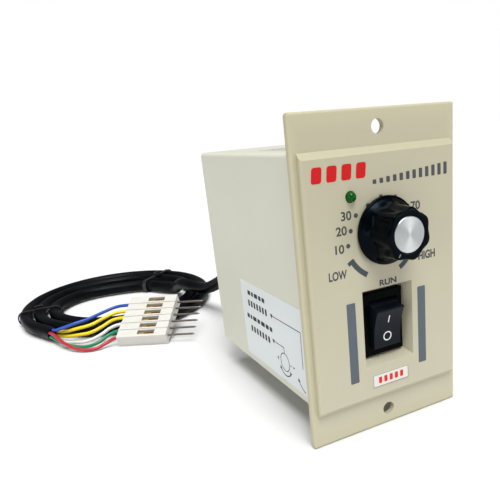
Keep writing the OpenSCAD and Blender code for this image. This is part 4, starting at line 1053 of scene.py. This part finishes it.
def print_top_label():
    """Ruled lines on the label on top of the box."""
    low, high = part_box("top_label")
    x0, x1, y0, y1 = [value / MM for value in (low[0], high[0], low[1], high[1])]
    margin, rule_w, spaces = 3, 0.35, 6
    rows = [y0 + (y1 - y0) * step / spaces for step in range(1, spaces)]
    rules = [drawn_line((x0 + margin, y), (x1 - margin, y), rule_w) for y in rows]
    print_on("top", "top_rules", rules, ink("rule_ink", (0.32, 0.16, 0.17)))
    band = drawn_bar((x0 + x1) / 2, y1 - margin, x1 - x0 - 2 * margin, 2.2, 0.3)
    print_on("top", "top_band", [band], ink("band_ink", (0.30, 0.28, 0.30)))


# Marks on the rocker, laid on its dished face
marks_from_y = -10
stroke_size = (0.4, 1, 2.6)
stroke_z = -13.4
ring_r = 1.45
ring_w = 0.38
ring_z = -19.7


def print_switch_marks():
    """A stroke for on and a ring for off, wrapped onto the rocker's face."""
    white = ink("mark_paint", (0.70, 0.70, 0.68))
    stroke = add("plane", "rocker_on", size=MM, rotation=(math.pi / 2, 0, 0))
    with Edit(stroke):
        bpy.ops.mesh.select_all(action="SELECT")
        bpy.ops.transform.resize(value=stroke_size, center_override=(0, 0, 0))
        bpy.ops.mesh.subdivide(number_cuts=12)
    ring = drawn_band((0, 0), ring_r, ring_w, 0, 360, 48)
    ring.name = "rocker_off"
    for mark, z in ((stroke, stroke_z), (ring, ring_z)):
        mark.location = mm(0, marks_from_y, z)
        settle(mark)
        apply_modifier(mark, "SHRINKWRAP", target=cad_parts["switch_rocker"],
                       wrap_method="PROJECT", use_project_y=True, use_positive_direction=True,
                       use_negative_direction=False, wrap_mode="ON_SURFACE")
        with Edit(mark):
            bpy.ops.mesh.select_all(action="SELECT")
            bpy.ops.transform.translate(value=mm(0, -print_lift, 0))
        apply_modifier(mark, "SOLIDIFY", thickness=print_thick * MM, offset=0)
        dress(mark, "rocker", white)


# Finishes of the CAD nodes
def finish_nodes():
    """Every node of the frame gets the finish of the piece it stands for."""
    zinc = metal("zinc_plate", (0.62, 0.64, 0.66), 0.3)
    steel = metal("turned_steel", (0.60, 0.60, 0.61), 0.24, (60, 1, 60))
    brass = metal("brass_strip", (0.60, 0.43, 0.17), 0.32)
    tin = metal("tin_plate", (0.42, 0.39, 0.36), 0.34, (1, 1, 1), 900)
    # Painted shade: a darker copy of the tin plate, used for the connector pins only.
    pin_tin = metal("pin_tin", (0.19, 0.165, 0.14), 0.34, (1, 1, 1), 900)
    dark = moulded("dark_moulding", (0.02, 0.02, 0.022), 1800, 0.00003, 0.4, 0.3)
    board = circuit_board()
    film = film_label("film_label", (0.68, 0.72, 0.725))
    sleeve = moulded("sleeve_rubber", (0.018, 0.018, 0.02), 1600, 0.00005, 0.55, 0.3)
    box = moulded("box_plastic", (0.60, 0.60, 0.505), 2000, 0.00004, 0.5, 0.03)
    frame_black = moulded("switch_frame", (0.0006, 0.0009, 0.0012), 1900, 0.00002, 0.4, 0.3,
                          Specular_IOR_Level=0.03)
    rocker_black = moulded("rocker_satin", (0.004, 0.007, 0.011), 1900, 0.00002, 0.33, 0.3,
                           Specular_IOR_Level=0.12)
    red = core_plastic("wire_red", (0.62, 0.03, 0.04))
    black = core_plastic("wire_black", (0.02, 0.02, 0.02))
    blue = core_plastic("wire_blue", (0.02, 0.07, 0.5))
    finishes = {
        "front_panel": panel_plastic(), "housing": box, "strain_relief": sleeve,
        "lamp_legs": tin, "knob_insert": brass,
        "knob_grub_screw": metal("black_steel", (0.1, 0.1, 0.1)),
        "pot_shaft": steel, "pot_wiper": dark, "pot_bushing": zinc, "pot_case": zinc,
        "pot_track": dark, "pot_legs": tin, "pot_washer": zinc, "pot_nut": zinc,
        "switch_body": frame_black, "switch_rocker": rocker_black,
        "switch_plunger": moulded("plunger_nylon", (0.7, 0.69, 0.62)),
        "plunger_spring": steel, "contact_lever": metal("contact_copper", (0.72, 0.38, 0.22)),
        "switch_terminals": brass, "front_board": board, "front_board_screws": zinc,
        "board_link": red, "main_board": board,
        "film_capacitor": gloss("film_red", (0.5, 0.03, 0.02)),
        "bulk_capacitors": gloss("can_blue", (0.02, 0.025, 0.12)),
        "heat_sink": metal("extruded_alloy", (0.55, 0.56, 0.58), 0.4, (1, 60, 1)),
        "triac": dark, "triac_screw": zinc,
        "power_resistor": moulded("white_ceramic", (0.72, 0.71, 0.66), 900, 0.00008, 0.7),
        "fuse": gloss("fuse_glass", (0.6, 0.63, 0.62), 0.08), "fuse_clips": brass,
        "choke_core": moulded("ferrite", (0.04, 0.04, 0.045), 1200, 0.00006, 0.6, 0.3),
        "choke_winding": metal("enamelled_copper", (0.55, 0.22, 0.08), 0.25, (1400, 1, 1), 1),
        "control_chip": dark, "varistor": gloss("varistor_blue", (0.02, 0.08, 0.35)),
        "diodes": gloss("diode_black", (0.015, 0.015, 0.015)),
        "small_resistors": gloss("resistor_tan", (0.5, 0.36, 0.2)),
        "terminal_block": moulded("block_green", (0.02, 0.16, 0.07)),
        "inner_cores": blue, "switch_wires": black,
        "connector_housing": comb_nylon(), "connector_terminals": brass, "connector_pins": pin_tin,
        "side_label": film, "top_label": film_label("top_film", (0.60, 0.56, 0.56)),
        "front_sticker": film_label("sticker_paper", (0.70, 0.69, 0.64))}
    for name, material in finishes.items():
        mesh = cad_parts[name].data
        mesh.materials.clear()
        mesh.materials.append(material)


place_camera()
light_the_stage()
lay_lead()
lay_floor()
finish_nodes()
make_knob()
make_cap()
make_pointer()
make_lamp()
print_dial()
print_switch_marks()
print_header()
print_sticker()
print_side_label()
print_top_label()
